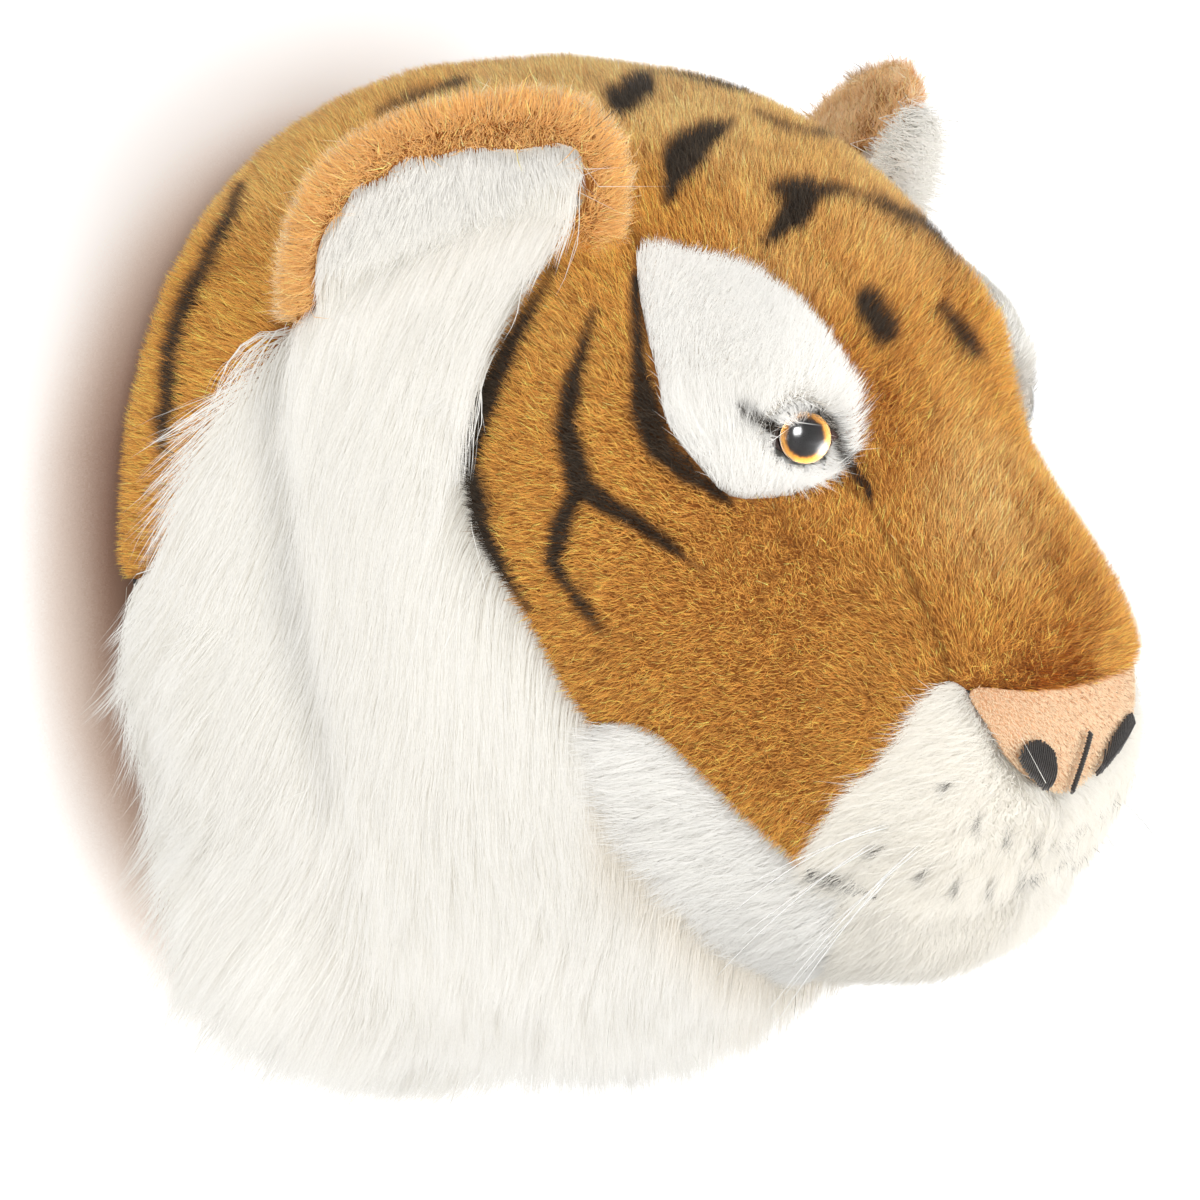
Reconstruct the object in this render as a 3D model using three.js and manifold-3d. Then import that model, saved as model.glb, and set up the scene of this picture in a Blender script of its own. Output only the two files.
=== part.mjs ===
import * as THREE from "three";
import { mergeVertices } from "three/addons/utils/BufferGeometryUtils.js";
import Module from "manifold-3d";

const wasm = await Module();
wasm.setup();

// A plush animal head that hangs on a wall, face forward. Sizes are in millimetres, +Z is up.
// The wall is the plane y = 0 and the face looks along -Y, so "out" is a distance from the wall.
// The animal's right side is at -X. Right pieces are cut first and mirrored for the left.

const seam = 0.3; // gap between neighbouring pieces
const plush = 8; // short plush of the face, backing cloth and pile
const velourSink = 3; // the nose velour's short pile lies this far below the plush
const stitching = 1.1; // raised satin stitch
const earPlush = 5; // short pile of the ear lining

// Long pile of the ruff, beyond the short plush
const ruffSide = 7;
const ruffSideAtWall = -1;
const ruffBelow = 25;
const ruffStart = 172; // where the pile of the ruff begins, out from the wall
const ruffFull = 134; // where it has its full height
const partingOut = 82; // the parting between the front ruff and the rear tuft
const partingDepth = 6;
const partingWidth = 9;

// The head at its pile tips, in sections parallel to the wall. The first lies behind the wall plane,
// so that the back can be trimmed flat.
const sections = [
  { out: -14, top: 103, bottom: -108, half: 98, middle: -2, above: 2.15, below: 2.15 },
  { out: 0, top: 118, bottom: -118, half: 107, middle: -2, above: 2.15, below: 2.15 },
  { out: 14, top: 127.5, bottom: -127, half: 113, middle: -4, above: 2.15, below: 2.15 },
  { out: 40, top: 136, bottom: -133, half: 116, middle: -6, above: 2.15, below: 2.15 },
  { out: 75, top: 139, bottom: -134, half: 116, middle: -8, above: 2.2, below: 2.2 },
  { out: 110, top: 136, bottom: -130, half: 114, middle: -10, above: 2.2, below: 2.2 },
  { out: 140, top: 127, bottom: -122, half: 107, middle: -14, above: 2.2, below: 2.2 },
  { out: 165, top: 115, bottom: -116, half: 97, middle: -20, above: 2.1, below: 2.3 },
  { out: 185, top: 101, bottom: -113, half: 84, middle: -28, above: 2.0, below: 2.4 },
  { out: 200, top: 84, bottom: -112, half: 73, middle: -36, above: 1.9, below: 2.5 },
  { out: 212, top: 62, bottom: -111, half: 64, middle: -43, above: 1.9, below: 2.5 },
  { out: 224, top: 42, bottom: -106, half: 57, middle: -45, above: 2.0, below: 2.5 },
  { out: 236, top: 27, bottom: -92, half: 50, middle: -43, above: 2.2, below: 2.4 },
  { out: 246, top: 15, bottom: -74, half: 43, middle: -37, above: 2.3, below: 2.3 },
  { out: 254, top: 4, bottom: -56, half: 34, middle: -30, above: 2.3, below: 2.2 },
  { out: 260, top: -7, bottom: -38, half: 21, middle: -24, above: 2.2, below: 2.2 },
  { out: 262.5, top: -21, bottom: -22, half: 0.5, middle: -21.5, above: 2, below: 2 },
];

// Swellings and hollows of the stuffed form, one on each side
const swellings = [
  { name: "brow", at: [52, -194, 62], spread: 25, height: 11 },
  { name: "eye socket", at: [52, -203, 38], spread: 13, height: -5 },
  { name: "muzzle pad", at: [40, -228, -50], spread: 26, height: 5 },
];

const neckOut = 62; // the seam between the crown and the neck band, out from the wall

// Facets of the stuffed forms
const pileSteps = 18;
const pileSides = 28;
const skinSteps = 11;
const skinSides = 16;
const earSides = 18;
const eyeSides = 18;

// The seams are drawn as seen from the head's front right, [right, up] from the drawing's centre
const drawingTurn = THREE.MathUtils.degToRad(-53);
const drawingRise = THREE.MathUtils.degToRad(9);
const drawingDistance = 1400;
const drawingCentre = new THREE.Vector3(0, -92, -18);
const drawingDepth = 320; // how far the cuts reach before and behind the drawing's centre

// Shared runs of the seam lines
const faceEdge = [
  [-12, -26], [-19, -12], [-29, 4], [-38, 20], [-41, 38], [-38, 58], [-30, 77], [-20, 94], [-12, 106], [-4, 116],
];
const cheekToJaw = [[-3, -39], [6, -37], [16, -40], [29, -52], [45, -68], [60, -81]];
const cheekToMuzzle = [[69, -61], [81, -49], [91, -35], [101, -23]];
const mouthLine = [[72, -87], [86, -90], [102, -91], [116, -87], [126, -82]];
const jawToRuff = [[67, -112], [41, -104], [23, -88], [10, -75], [1, -58]];

const reversed = (run) => [...run].reverse();

const seams = {
  eyePatch: [
    [12, 105], [27, 104], [43, 100], [55, 93], [67, 82], [73, 72], [77, 61], [74, 49],
    [73, 42], [68, 37], [58, 32], [39, 30], [29, 39], [19, 52], [16, 66], [12, 87],
  ],
  nose: [[108, -26], [116, -39], [122, -48], [130, -55], [137, -58], [152, -54], [160, -40], [160, -27], [128, -27]],
  muzzle: [...cheekToMuzzle, [108, -26], [150, -48], [150, -66], ...reversed(mouthLine), [60, -81]],
  chin: [...mouthLine, [150, -80], [150, -140], [87, -125], [67, -112], [70, -100]],
  jaw: [...cheekToJaw, [72, -87], [70, -100], ...jawToRuff],
  ruff: [
    [-85, 82], [-96, 81], [-98, 72], [-109, 58], [-122, 32], [-133, 9], [-175, -8], [-175, -190], [87, -190],
    [87, -125], ...jawToRuff, [-3, -39], ...faceEdge, [-8, 124], [-41, 112], [-72, 100], [-78, 96],
  ],
  cheek: [
    [-4, 116], [3, 117], [12, 105], [39, 64], [68, 37], [78, 29], [88, 12], [99, -12],
    ...reversed(cheekToMuzzle), ...reversed(cheekToJaw), ...faceEdge.slice(0, -1),
  ],
};

// Ears: the rim stands in a plane through the ear's front and rear roots, which looks outwards
const earRoot = new THREE.Vector3(-112, -71, 0); // rear root, at the head's own zero height
const earTurn = THREE.MathUtils.degToRad(-54.8);
const earRimThickness = 11;
const earCup = 7; // depth of the hollow front
const earBulge = 9; // how far the back swells behind the rim
const earLean = THREE.MathUtils.degToRad(17); // the rim leans outwards above the root
const earForward = 3;
const earCentre = [48, 84]; // [along, up] in the rim's plane
const earRim = [
  [0, 66], [-2, 87], [3, 103], [15, 118], [30, 127], [49, 132], [68, 134], [82, 130], [90, 119], [92, 108], [88, 88],
];
const earRoots = [[76, 62], [48, 50], [18, 50]];
const liningEdge = [
  [4, 52], [3, 85], [6, 94], [15, 102], [26, 109], [37, 115], [49, 116], [63, 116], [77, 116], [80, 112], [72, 105],
  [60, 60],
];

// Eyes: plastic safety eyes with a shank and a locking washer behind the cloth
const eyeAt = [60, 47]; // on the drawing
const eyeTurn = THREE.MathUtils.degToRad(-42);
const eyeRise = THREE.MathUtils.degToRad(4);
const irisDiameter = 14;
const domeHeight = 4.6;
const eyeDisc = 1.4;
const eyeBackingWidth = 20;
const eyeBackingHeight = 12;
const eyeBackingThickness = 1.4;
const eyeSink = 5.4; // how far the backing's rear lies below the pile tips
const eyeMargin = 1.2; // free room around the backing in the plush
const shankDiameter = 4;
const shankLength = 15;
const washerDiameter = 13;
const washerThickness = 2;

// Nose stitching on the drawing, and the line between the nostrils
const nostrilEdge = [[121, -46], [125, -42], [130, -42], [133, -46], [132, -52], [129, -56], [124, -52]];
const nosePartingTop = -39;
const nosePartingBottom = -54;
const nosePartingWidth = 1.4;
const mouthStitch = [[60, -79], [66, -80], [74, -84], [84, -88], [84, -90], [74, -88], [66, -86], [61, -84]];

// Whiskers: nylon filaments from the muzzle, each with its root on the drawing and its reach from there
const whiskerDiameter = 0.7;
const whiskers = [
  { root: [84, -66], reach: [-60, 8, -14], sag: -6 },
  { root: [80, -71], reach: [-56, 12, -28], sag: -5 },
  { root: [94, -72], reach: [-56, 10, -36], sag: -5 },
  { root: [86, -79], reach: [-46, 10, -40], sag: -4 },
];

// Back board, its cloth cover and the ring hanger in a pocket
const coverThickness = 1.5;
const boardThickness = 12;
const hingeHeight = 70; // the ring's hinge, above the head's zero
const wire = 2.5;
const ringWidth = 20; // inside the ring
const ringHeight = 20;
const ringCorner = 3;
const ringLean = THREE.MathUtils.degToRad(4); // it rests against the pocket's floor
const strapThickness = 1.2;
const strapWidth = 12;
const strapLength = 34;
const holeClearance = 0.3;
const screwBelowHinge = 9;
const screwFromEnd = 5.5; // the other screw, from the strap's end
const screwHead = 6.6;
const screwHeadHeight = 1.9;
const screwShank = 3;
const screwGrip = 4.5; // length of thread in the board
const pocketBelowStrap = 1;
const pocketAboveRing = 3;
const pocketBesideRing = 4.5;
const pocketCorner = 6;
const pocketSpare = 0.2; // the knuckle lies this far below the board's face

const fullTurn = 2 * Math.PI;
const acrossMiddle = 0.5; // overlap of the two halves of a piece that crosses the middle

function toSolid(geometry) {
  const bare = new THREE.BufferGeometry();
  bare.setAttribute("position", geometry.getAttribute("position"));
  if (geometry.index) bare.setIndex(geometry.index);
  const merged = mergeVertices(bare, 1e-4);
  return new wasm.Manifold(
    new wasm.Mesh({
      numProp: 3,
      vertProperties: merged.getAttribute("position").array,
      triVerts: new Uint32Array(merged.index.array),
    }),
  );
}

function toGeometry(solid) {
  const made = solid.getMesh();
  const geometry = new THREE.BufferGeometry();
  geometry.setAttribute("position", new THREE.BufferAttribute(made.vertProperties, 3));
  geometry.setIndex(new THREE.BufferAttribute(made.triVerts, 1));
  geometry.computeVertexNormals();
  return geometry;
}

function mirror(solid) {
  const turned = toGeometry(solid).scale(-1, 1, 1);
  const corners = turned.index.array;
  for (let i = 0; i < corners.length; i += 3) {
    [corners[i + 1], corners[i + 2]] = [corners[i + 2], corners[i + 1]];
  }
  return toSolid(turned);
}

// A solid from rings of points: each row is closed on itself, and the two end rows are closed by fans.
// The facets of its two sides mirror each other.
function loft(rows) {
  const sides = rows[0].length;
  const points = rows.flat();
  const middle = (row) => row.reduce((sum, p) => sum.add(p), new THREE.Vector3()).divideScalar(sides);
  points.push(middle(rows[0]), middle(rows[rows.length - 1]));
  const first = points.length - 2;
  const last = points.length - 1;
  const end = (rows.length - 1) * sides;
  const corners = [];
  for (let j = 0; j < sides; j += 1) {
    const k = (j + 1) % sides;
    corners.push(first, k, j, last, end + j, end + k);
    for (let i = 0; i < rows.length - 1; i += 1) {
      const [near, nearNext] = [i * sides + j, i * sides + k];
      const [away, awayNext] = [near + sides, nearNext + sides];
      if (j < sides / 2) corners.push(near, nearNext, awayNext, near, awayNext, away);
      else corners.push(near, nearNext, away, nearNext, awayNext, away);
    }
  }
  const geometry = new THREE.BufferGeometry();
  geometry.setAttribute("position", new THREE.Float32BufferAttribute(points.flatMap((p) => p.toArray()), 3));
  geometry.setIndex(corners);
  return geometry;
}

// A smooth run through equally spaced values that never overshoots them
function eased(values, place) {
  const last = values.length - 1;
  const i = Math.min(Math.floor(place * last), last - 1);
  const f = place * last - i;
  const rise = (k) => values[k + 1] - values[k];
  const slope = (k) => {
    if (k === 0) return rise(0);
    if (k === last) return rise(last - 1);
    const both = rise(k - 1) * rise(k);
    return both > 0 ? (2 * both) / (rise(k - 1) + rise(k)) : 0;
  };
  const start = (1 + 2 * f) * (1 - f) ** 2 * values[i] + f * (1 - f) ** 2 * slope(i);
  const finish = f * f * (3 - 2 * f) * values[i + 1] - f * f * (1 - f) * slope(i + 1);
  return start + finish;
}

const sectionSizes = Object.fromEntries(
  Object.keys(sections[0]).map((size) => [size, sections.map((section) => section[size])]),
);

// A point of the head before its swellings: place runs from back to front, turn from the top to the right
function plainPoint(place, turn) {
  const size = (name) => eased(sectionSizes[name], place);
  const up = Math.cos(turn);
  const side = Math.sin(turn);
  const roundness = up >= 0 ? size("above") : size("below");
  const reach = up >= 0 ? size("top") - size("middle") : size("middle") - size("bottom");
  return new THREE.Vector3(
    -size("half") * Math.sign(side) * Math.abs(side) ** (2 / roundness),
    -size("out"),
    size("middle") + reach * Math.sign(up) * Math.abs(up) ** (2 / roundness),
  );
}

function swelling(point) {
  return swellings.reduce((sum, { at, spread, height }) => {
    const away = new THREE.Vector3(Math.abs(point.x), point.y, point.z).sub(new THREE.Vector3(...at));
    return sum + height * Math.exp(-away.lengthSq() / spread ** 2);
  }, 0);
}

function headPoint(place, turn, lift) {
  const step = 1e-3;
  const point = plainPoint(place, turn);
  const along = plainPoint(Math.min(place + step, 1), turn).sub(plainPoint(Math.max(place - step, 0), turn));
  const around = plainPoint(place, turn + step).sub(plainPoint(place, turn - step));
  const outward = around.cross(along).normalize();
  const rise = typeof lift === "function" ? lift(-point.y, turn) : lift;
  return point.addScaledVector(outward, swelling(point) + rise);
}

// The stuffed head with its surface lifted off the pile tips, or sunk below them where lift is negative
function head(lift, steps = pileSteps, sides = pileSides) {
  const rows = Array.from({ length: steps + 1 }, (_, i) =>
    Array.from({ length: sides }, (_, j) => headPoint(i / steps, (fullTurn * j) / sides, lift)),
  );
  return toSolid(loft(rows)).subtract(behindWall);
}

function ruffLift(out, turn) {
  const side = THREE.MathUtils.lerp(ruffSideAtWall, ruffSide, THREE.MathUtils.smoothstep(out, 0, partingOut));
  const lowness = THREE.MathUtils.smoothstep(-Math.cos(turn), -0.1, 0.9);
  const start = 1 - THREE.MathUtils.smoothstep(out, ruffFull, ruffStart);
  const dip = partingDepth * Math.exp(-(((out - partingOut) / partingWidth) ** 2));
  return (side + (ruffBelow - side) * lowness) * start - dip * start;
}

function block(low, high) {
  const size = new THREE.Vector3().subVectors(high, low);
  const geometry = new THREE.BoxGeometry(size.x, size.y, size.z);
  geometry.translate((low.x + high.x) / 2, (low.y + high.y) / 2, (low.z + high.z) / 2);
  return toSolid(geometry);
}

const far = 500; // beyond the head on every side
const slab = (nearWall, away) => block(new THREE.Vector3(-far, -away, -far), new THREE.Vector3(far, -nearWall, far));
const behindWall = slab(-far, 0);
const leftOf = (x) => block(new THREE.Vector3(x, -far, -far), new THREE.Vector3(far, far, far));

const drawingBack = new THREE.Vector3(
  Math.sin(drawingTurn) * Math.cos(drawingRise),
  -Math.cos(drawingTurn) * Math.cos(drawingRise),
  Math.sin(drawingRise),
);
const drawingRight = new THREE.Vector3(Math.cos(drawingTurn), Math.sin(drawingTurn), 0);
const drawingUp = new THREE.Vector3().crossVectors(drawingBack, drawingRight);
const drawingEye = drawingCentre.clone().addScaledVector(drawingBack, drawingDistance);

// The point seen at [right, up] of the drawing, at a depth before (+) or behind (-) its centre
function seenAt(right, up, depth) {
  const onDrawing = drawingCentre.clone().addScaledVector(drawingRight, right).addScaledVector(drawingUp, up);
  const share = (drawingDistance - depth) / drawingDistance;
  return drawingEye.clone().lerp(onDrawing, share);
}

// An outline moved outwards by a distance. A sharp corner is cut off square.
function grown(outline, by) {
  const corners = outline.map(([x, y]) => new THREE.Vector2(x, y));
  const sense = Math.sign(THREE.ShapeUtils.area(corners));
  return corners.flatMap((corner, i) => {
    const before = corner.clone().sub(corners.at(i - 1)).normalize();
    const after = corners[(i + 1) % corners.length].clone().sub(corner).normalize();
    const outOfBefore = new THREE.Vector2(before.y, -before.x).multiplyScalar(sense);
    const outOfAfter = new THREE.Vector2(after.y, -after.x).multiplyScalar(sense);
    if (outOfBefore.dot(outOfAfter) < 0 && outOfBefore.dot(after) < 0) {
      const past = corner.clone().addScaledVector(outOfBefore.add(before), by);
      const short = corner.clone().addScaledVector(outOfAfter.sub(after), by);
      return [past.toArray(), short.toArray()];
    }
    const middle = outOfBefore.add(outOfAfter);
    return [corner.clone().addScaledVector(middle, (2 * by) / Math.max(middle.lengthSq(), 0.5)).toArray()];
  });
}

// A prism from an outline, along +Z
function prism(outline, depth) {
  const shape = new THREE.Shape(outline.map(([x, y]) => new THREE.Vector2(x, y)));
  return new THREE.ExtrudeGeometry(shape, { depth, bevelEnabled: false });
}

// All that is seen through an outline of the drawing, on the right half of the head
function cutout(outline, past = 0) {
  const geometry = prism(outline, 2 * drawingDepth);
  const places = geometry.getAttribute("position");
  const point = new THREE.Vector3();
  for (let i = 0; i < places.count; i += 1) {
    point.fromBufferAttribute(places, i);
    const seen = seenAt(point.x, point.y, point.z - drawingDepth);
    places.setXYZ(i, seen.x, seen.y, seen.z);
  }
  return toSolid(geometry).subtract(leftOf(past));
}

const tips = head(0);
const skin = head(-plush, skinSteps, skinSides);
const filled = head(-plush - seam, skinSteps, skinSides);

const tipsMesh = new THREE.Mesh(toGeometry(tips));
const sight = new THREE.Raycaster();

// The point of the pile tips seen at a place of the drawing, with the direction in which the surface looks
function surfaceAt([right, up]) {
  sight.set(drawingEye, seenAt(right, up, 0).sub(drawingEye).normalize());
  const hit = sight.intersectObject(tipsMesh)[0];
  return { point: hit.point, outward: hit.face.normal };
}

function lathe(profile, sides) {
  const points = profile.map(([radius, height]) => new THREE.Vector2(radius, height));
  return new THREE.LatheGeometry(points, sides).rotateX(Math.PI / 2);
}

const rod = (radius, from, to, sides = 12) => lathe([[0, from], [radius, from], [radius, to], [0, to]], sides);

// Eyes: local +Z looks out of the eye, and zero is at the pile tips
const eyeRear = -eyeSink;
const backingFront = eyeRear + eyeBackingThickness;
const discRear = backingFront + seam;
const discFront = discRear + eyeDisc;
const domeFoot = discFront + seam;
const shankEnd = discRear - shankLength;
const washerFront = -plush - 2 * seam;
const shankHole = shankDiameter / 2 + holeClearance;

function eyeFrame() {
  const outward = new THREE.Vector3(
    Math.sin(eyeTurn) * Math.cos(eyeRise),
    -Math.cos(eyeTurn) * Math.cos(eyeRise),
    Math.sin(eyeRise),
  );
  const right = new THREE.Vector3(Math.cos(eyeTurn), Math.sin(eyeTurn), 0);
  const frame = new THREE.Matrix4().makeBasis(right, new THREE.Vector3().crossVectors(outward, right), outward);
  return frame.setPosition(surfaceAt(eyeAt).point);
}

const eyePlace = eyeFrame();
const inEye = (geometry) => toSolid(geometry.applyMatrix4(eyePlace));

function almond(width, height, rear, depth) {
  const shape = new THREE.Shape().moveTo(-width / 2, 0);
  shape.quadraticCurveTo(0, -height, width / 2, 0);
  shape.quadraticCurveTo(0, height, -width / 2, 0);
  return new THREE.ExtrudeGeometry(shape, { depth, bevelEnabled: false, curveSegments: 4 }).translate(0, 0, rear);
}

function eyeBacking() {
  const plate = inEye(almond(eyeBackingWidth, eyeBackingHeight, eyeRear, eyeBackingThickness));
  return plate.subtract(inEye(rod(shankHole, eyeRear - 1, backingFront + 1)));
}

function eyeIris() {
  const shank = shankDiameter / 2;
  const disc = irisDiameter / 2;
  const profile = [
    [0, shankEnd], [shank, shankEnd], [shank, discRear], [disc, discRear], [disc, discFront], [0, discFront],
  ];
  return inEye(lathe(profile, eyeSides));
}

function eyeDome() {
  const steps = 5;
  const profile = Array.from({ length: steps }, (_, i) => {
    const rise = (Math.PI / 2) * (i / steps);
    return [(irisDiameter / 2) * Math.cos(rise), domeFoot + domeHeight * Math.sin(rise)];
  });
  return inEye(lathe([[0, domeFoot], ...profile, [0, domeFoot + domeHeight]], eyeSides));
}

function eyeWasher() {
  const ring = inEye(rod(washerDiameter / 2, washerFront - washerThickness, washerFront));
  return ring.subtract(inEye(rod(shankHole, washerFront - washerThickness - 1, washerFront + 1)));
}

// The room that the eye takes in the cover and in the filling
function eyeRoom() {
  const oval = new THREE.Shape();
  oval.absellipse(0, 0, eyeBackingWidth / 2 + eyeMargin, irisDiameter / 2 + eyeMargin, 0, fullTurn);
  const pocket = new THREE.ExtrudeGeometry(oval, { depth: 3 * plush, bevelEnabled: false, curveSegments: 6 });
  pocket.translate(0, 0, eyeRear - seam);
  const washer = washerDiameter / 2 + seam;
  const washerRear = washerFront - washerThickness - seam;
  const bore = lathe([
    [0, shankEnd - seam], [shankHole, shankEnd - seam], [shankHole, washerRear], [washer, washerRear],
    [washer, washerFront + seam], [shankHole, washerFront + seam], [shankHole, plush], [0, plush],
  ], 12);
  return inEye(pocket).add(inEye(bore));
}

// The plush cover: each panel is cut from what is left of it, and takes the seam around it along
const bothSides = (solid) => solid.add(mirror(solid));
const eyeRooms = bothSides(eyeRoom());
const ruffCoat = head(ruffLift).subtract(skin);
let coat = tips.subtract(skin).subtract(eyeRooms);

function takeSeam(outline) {
  coat = coat.subtract(bothSides(cutout(grown(outline, seam), acrossMiddle)));
}

function sidePanel(outline) {
  const cut = coat.intersect(cutout(outline, -seam / 2));
  takeSeam(outline);
  return cut;
}

function middlePanel(outline) {
  const cut = coat.intersect(bothSides(cutout(outline, acrossMiddle)));
  takeSeam(outline);
  return cut;
}

const eyePatch = sidePanel(seams.eyePatch);
const nose = middlePanel(seams.nose).intersect(head(-velourSink));
const muzzlePad = sidePanel(seams.muzzle);
const chin = middlePanel(seams.chin);
const jaw = sidePanel(seams.jaw);
takeSeam(seams.ruff);
const cheek = sidePanel(seams.cheek);
const ruff = ruffCoat.intersect(cutout(seams.ruff, -seam / 2));
const ruffFront = ruff.subtract(slab(-far, partingOut + seam / 2));
const ruffRear = ruff.intersect(slab(-far, partingOut - seam / 2));
const crown = coat.subtract(slab(-far, neckOut + seam / 2));
const neck = coat.intersect(slab(-far, neckOut - seam / 2));

// Raised stitches lie on the nose and over the mouth seam
const noseTop = seam - velourSink;
const noseStitches = head(noseTop + stitching).subtract(head(noseTop));
const nostril = noseStitches.intersect(cutout(nostrilEdge)).intersect(cutout(seams.nose));
const mouthCorner = head(seam + stitching).subtract(head(seam)).intersect(cutout(mouthStitch));
const philtrum = noseStitches.intersect(
  block(
    new THREE.Vector3(-nosePartingWidth / 2, -far, nosePartingBottom),
    new THREE.Vector3(nosePartingWidth / 2, 0, nosePartingTop),
  ),
);

// Ears: a cup with a rounded rim, whose root is cut to the head
const earAlong = new THREE.Vector3(Math.cos(earTurn), Math.sin(earTurn), 0);
const upwards = new THREE.Vector3(0, 0, 1);
const earFront = new THREE.Vector3().crossVectors(earAlong, upwards);
const earPlace = new THREE.Matrix4().makeBasis(earAlong, upwards, earFront).setPosition(earRoot);

function earSolid(forward) {
  const corners = [...earRim, ...earRoots].map(([along, up]) => new THREE.Vector3(along, up, 0));
  const edge = new THREE.CatmullRomCurve3(corners, true, "centripetal").getSpacedPoints(earSides).slice(0, -1);
  const flat = 0.8; // share of the ear inside its rounded rim
  const rimHalf = earRimThickness / 2;
  const rim = (share) => rimHalf * Math.sqrt(1 - (Math.max(share - flat, 0) / (1 - flat)) ** 2);
  const hollow = (share) => 1 - Math.min(share / flat, 1) ** 2;
  const shares = [0.15, 0.5, flat, 0.93, 1];
  const rear = shares.map((share) => [share, -rim(share) - earBulge * hollow(share)]);
  const front = reversed(shares).slice(1).map((share) => [share, rim(share) - earCup * hollow(share)]);
  const [middleAlong, middleUp] = earCentre;
  const rows = reversed([...rear, ...front]).map(([share, depth]) =>
    edge.map(({ x, y }) => {
      const up = middleUp + share * (y - middleUp);
      const lean = earForward + (up - middleUp) * Math.tan(earLean);
      return new THREE.Vector3(middleAlong + share * (x - middleAlong), up, depth + lean + forward).applyMatrix4(earPlace);
    }),
  );
  return toSolid(loft(rows));
}

const besideEar = head(seam).add(cutout(grown(seams.ruff, seam)));
const ear = earSolid(0).subtract(besideEar);
const liningWindow = toSolid(prism(liningEdge, 3 * earBulge).translate(0, 0, -earBulge).applyMatrix4(earPlace));
const earLining = earSolid(seam + earPlush).subtract(earSolid(seam)).intersect(liningWindow).subtract(besideEar);

// Whiskers
function whisker({ root, reach, sag }) {
  const { point, outward } = surfaceAt(root);
  const start = point.addScaledVector(outward, whiskerDiameter);
  const tip = start.clone().add(new THREE.Vector3(...reach));
  const bend = start.clone().lerp(tip, 0.5);
  bend.z -= sag;
  const shape = new THREE.Shape().absarc(0, 0, whiskerDiameter / 2, 0, fullTurn);
  const path = new THREE.QuadraticBezierCurve3(start, bend, tip);
  return toSolid(new THREE.ExtrudeGeometry(shape, { steps: 4, curveSegments: 3, extrudePath: path }));
}

// Back board, its cover cloth and the ring hanger
const boardRear = coverThickness + seam;
const boardFront = boardRear + boardThickness;
const knuckleRadius = wire / 2 + holeClearance + strapThickness;
const pocketFloor = boardRear + pocketSpare + 2 * knuckleRadius + seam;
const strapRear = pocketFloor - seam - strapThickness; // the strap's free face, out from the wall
const hingeOut = pocketFloor - seam - knuckleRadius;
const screwDrops = [screwBelowHinge, strapLength - screwFromEnd];

function roundedWindow(width, height, corner) {
  const x = width / 2;
  const y = height / 2;
  const shape = new THREE.Shape().absarc(x - corner, corner - y, corner, -Math.PI / 2, 0);
  shape.absarc(x - corner, y - corner, corner, 0, Math.PI / 2);
  shape.absarc(corner - x, y - corner, corner, Math.PI / 2, Math.PI);
  shape.absarc(corner - x, corner - y, corner, Math.PI, 1.5 * Math.PI);
  return shape;
}

// Local +Z looks away from the wall, along -Y, with the origin at the ring's hinge on the wall plane
const onBack = new THREE.Matrix4().makeRotationX(Math.PI / 2).setPosition(0, 0, hingeHeight);
const inBack = (geometry) => toSolid(geometry.applyMatrix4(onBack));

const pocketWidth = ringWidth + 2 * (wire + pocketBesideRing);
const pocketTop = ringHeight + 1.5 * wire + pocketAboveRing;
const pocketBottom = -strapLength - pocketBelowStrap;
const pocket = inBack(
  new THREE.ExtrudeGeometry(roundedWindow(pocketWidth, pocketTop - pocketBottom, pocketCorner), {
    depth: pocketFloor + 1,
    bevelEnabled: false,
    curveSegments: 4,
  }).translate(0, (pocketTop + pocketBottom) / 2, -1),
);

const screwRear = strapRear - seam;

function screw(drop) {
  const head = screwHead / 2;
  const shank = screwShank / 2;
  const tip = pocketFloor + screwGrip;
  const profile = [
    [0, screwRear - screwHeadHeight], [head * 0.6, screwRear - screwHeadHeight], [head, screwRear - screwHeadHeight / 3],
    [head, screwRear], [shank, screwRear], [shank, tip - shank], [0, tip],
  ];
  const slotDepth = screwHeadHeight / 2;
  const slot = (wide, high) =>
    inBack(new THREE.BoxGeometry(wide, high, 2 * slotDepth).translate(0, -drop, screwRear - screwHeadHeight));
  const turned = inBack(lathe(profile, 16).translate(0, -drop, 0));
  return turned.subtract(slot(screwHead * 0.6, screwShank / 4)).subtract(slot(screwShank / 4, screwHead * 0.6));
}

const screwBore = (drop) =>
  inBack(rod(screwShank / 2 + holeClearance, 0, pocketFloor + screwGrip + seam).translate(0, -drop, 0));

function strap() {
  const half = strapWidth / 2;
  const plate = new THREE.BoxGeometry(strapWidth, strapLength, strapThickness);
  plate.translate(0, -strapLength / 2, strapRear + strapThickness / 2);
  const curl = new THREE.Shape().absarc(0, 0, knuckleRadius, 0, fullTurn);
  curl.holes.push(new THREE.Path().absarc(0, 0, wire / 2 + holeClearance, 0, fullTurn, true));
  const knuckle = new THREE.ExtrudeGeometry(curl, { depth: strapWidth, bevelEnabled: false, curveSegments: 8 });
  knuckle.rotateY(Math.PI / 2).translate(-half, 0, hingeOut);
  const bar = rodAcross(wire / 2 + holeClearance, strapWidth + 2);
  const joined = inBack(plate).add(inBack(knuckle)).subtract(bar);
  return screwDrops.reduce((left, drop) => left.subtract(screwBore(drop)), joined);
}

function rodAcross(radius, length) {
  return inBack(rod(radius, -length / 2, length / 2).rotateY(Math.PI / 2).translate(0, 0, hingeOut));
}

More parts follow.
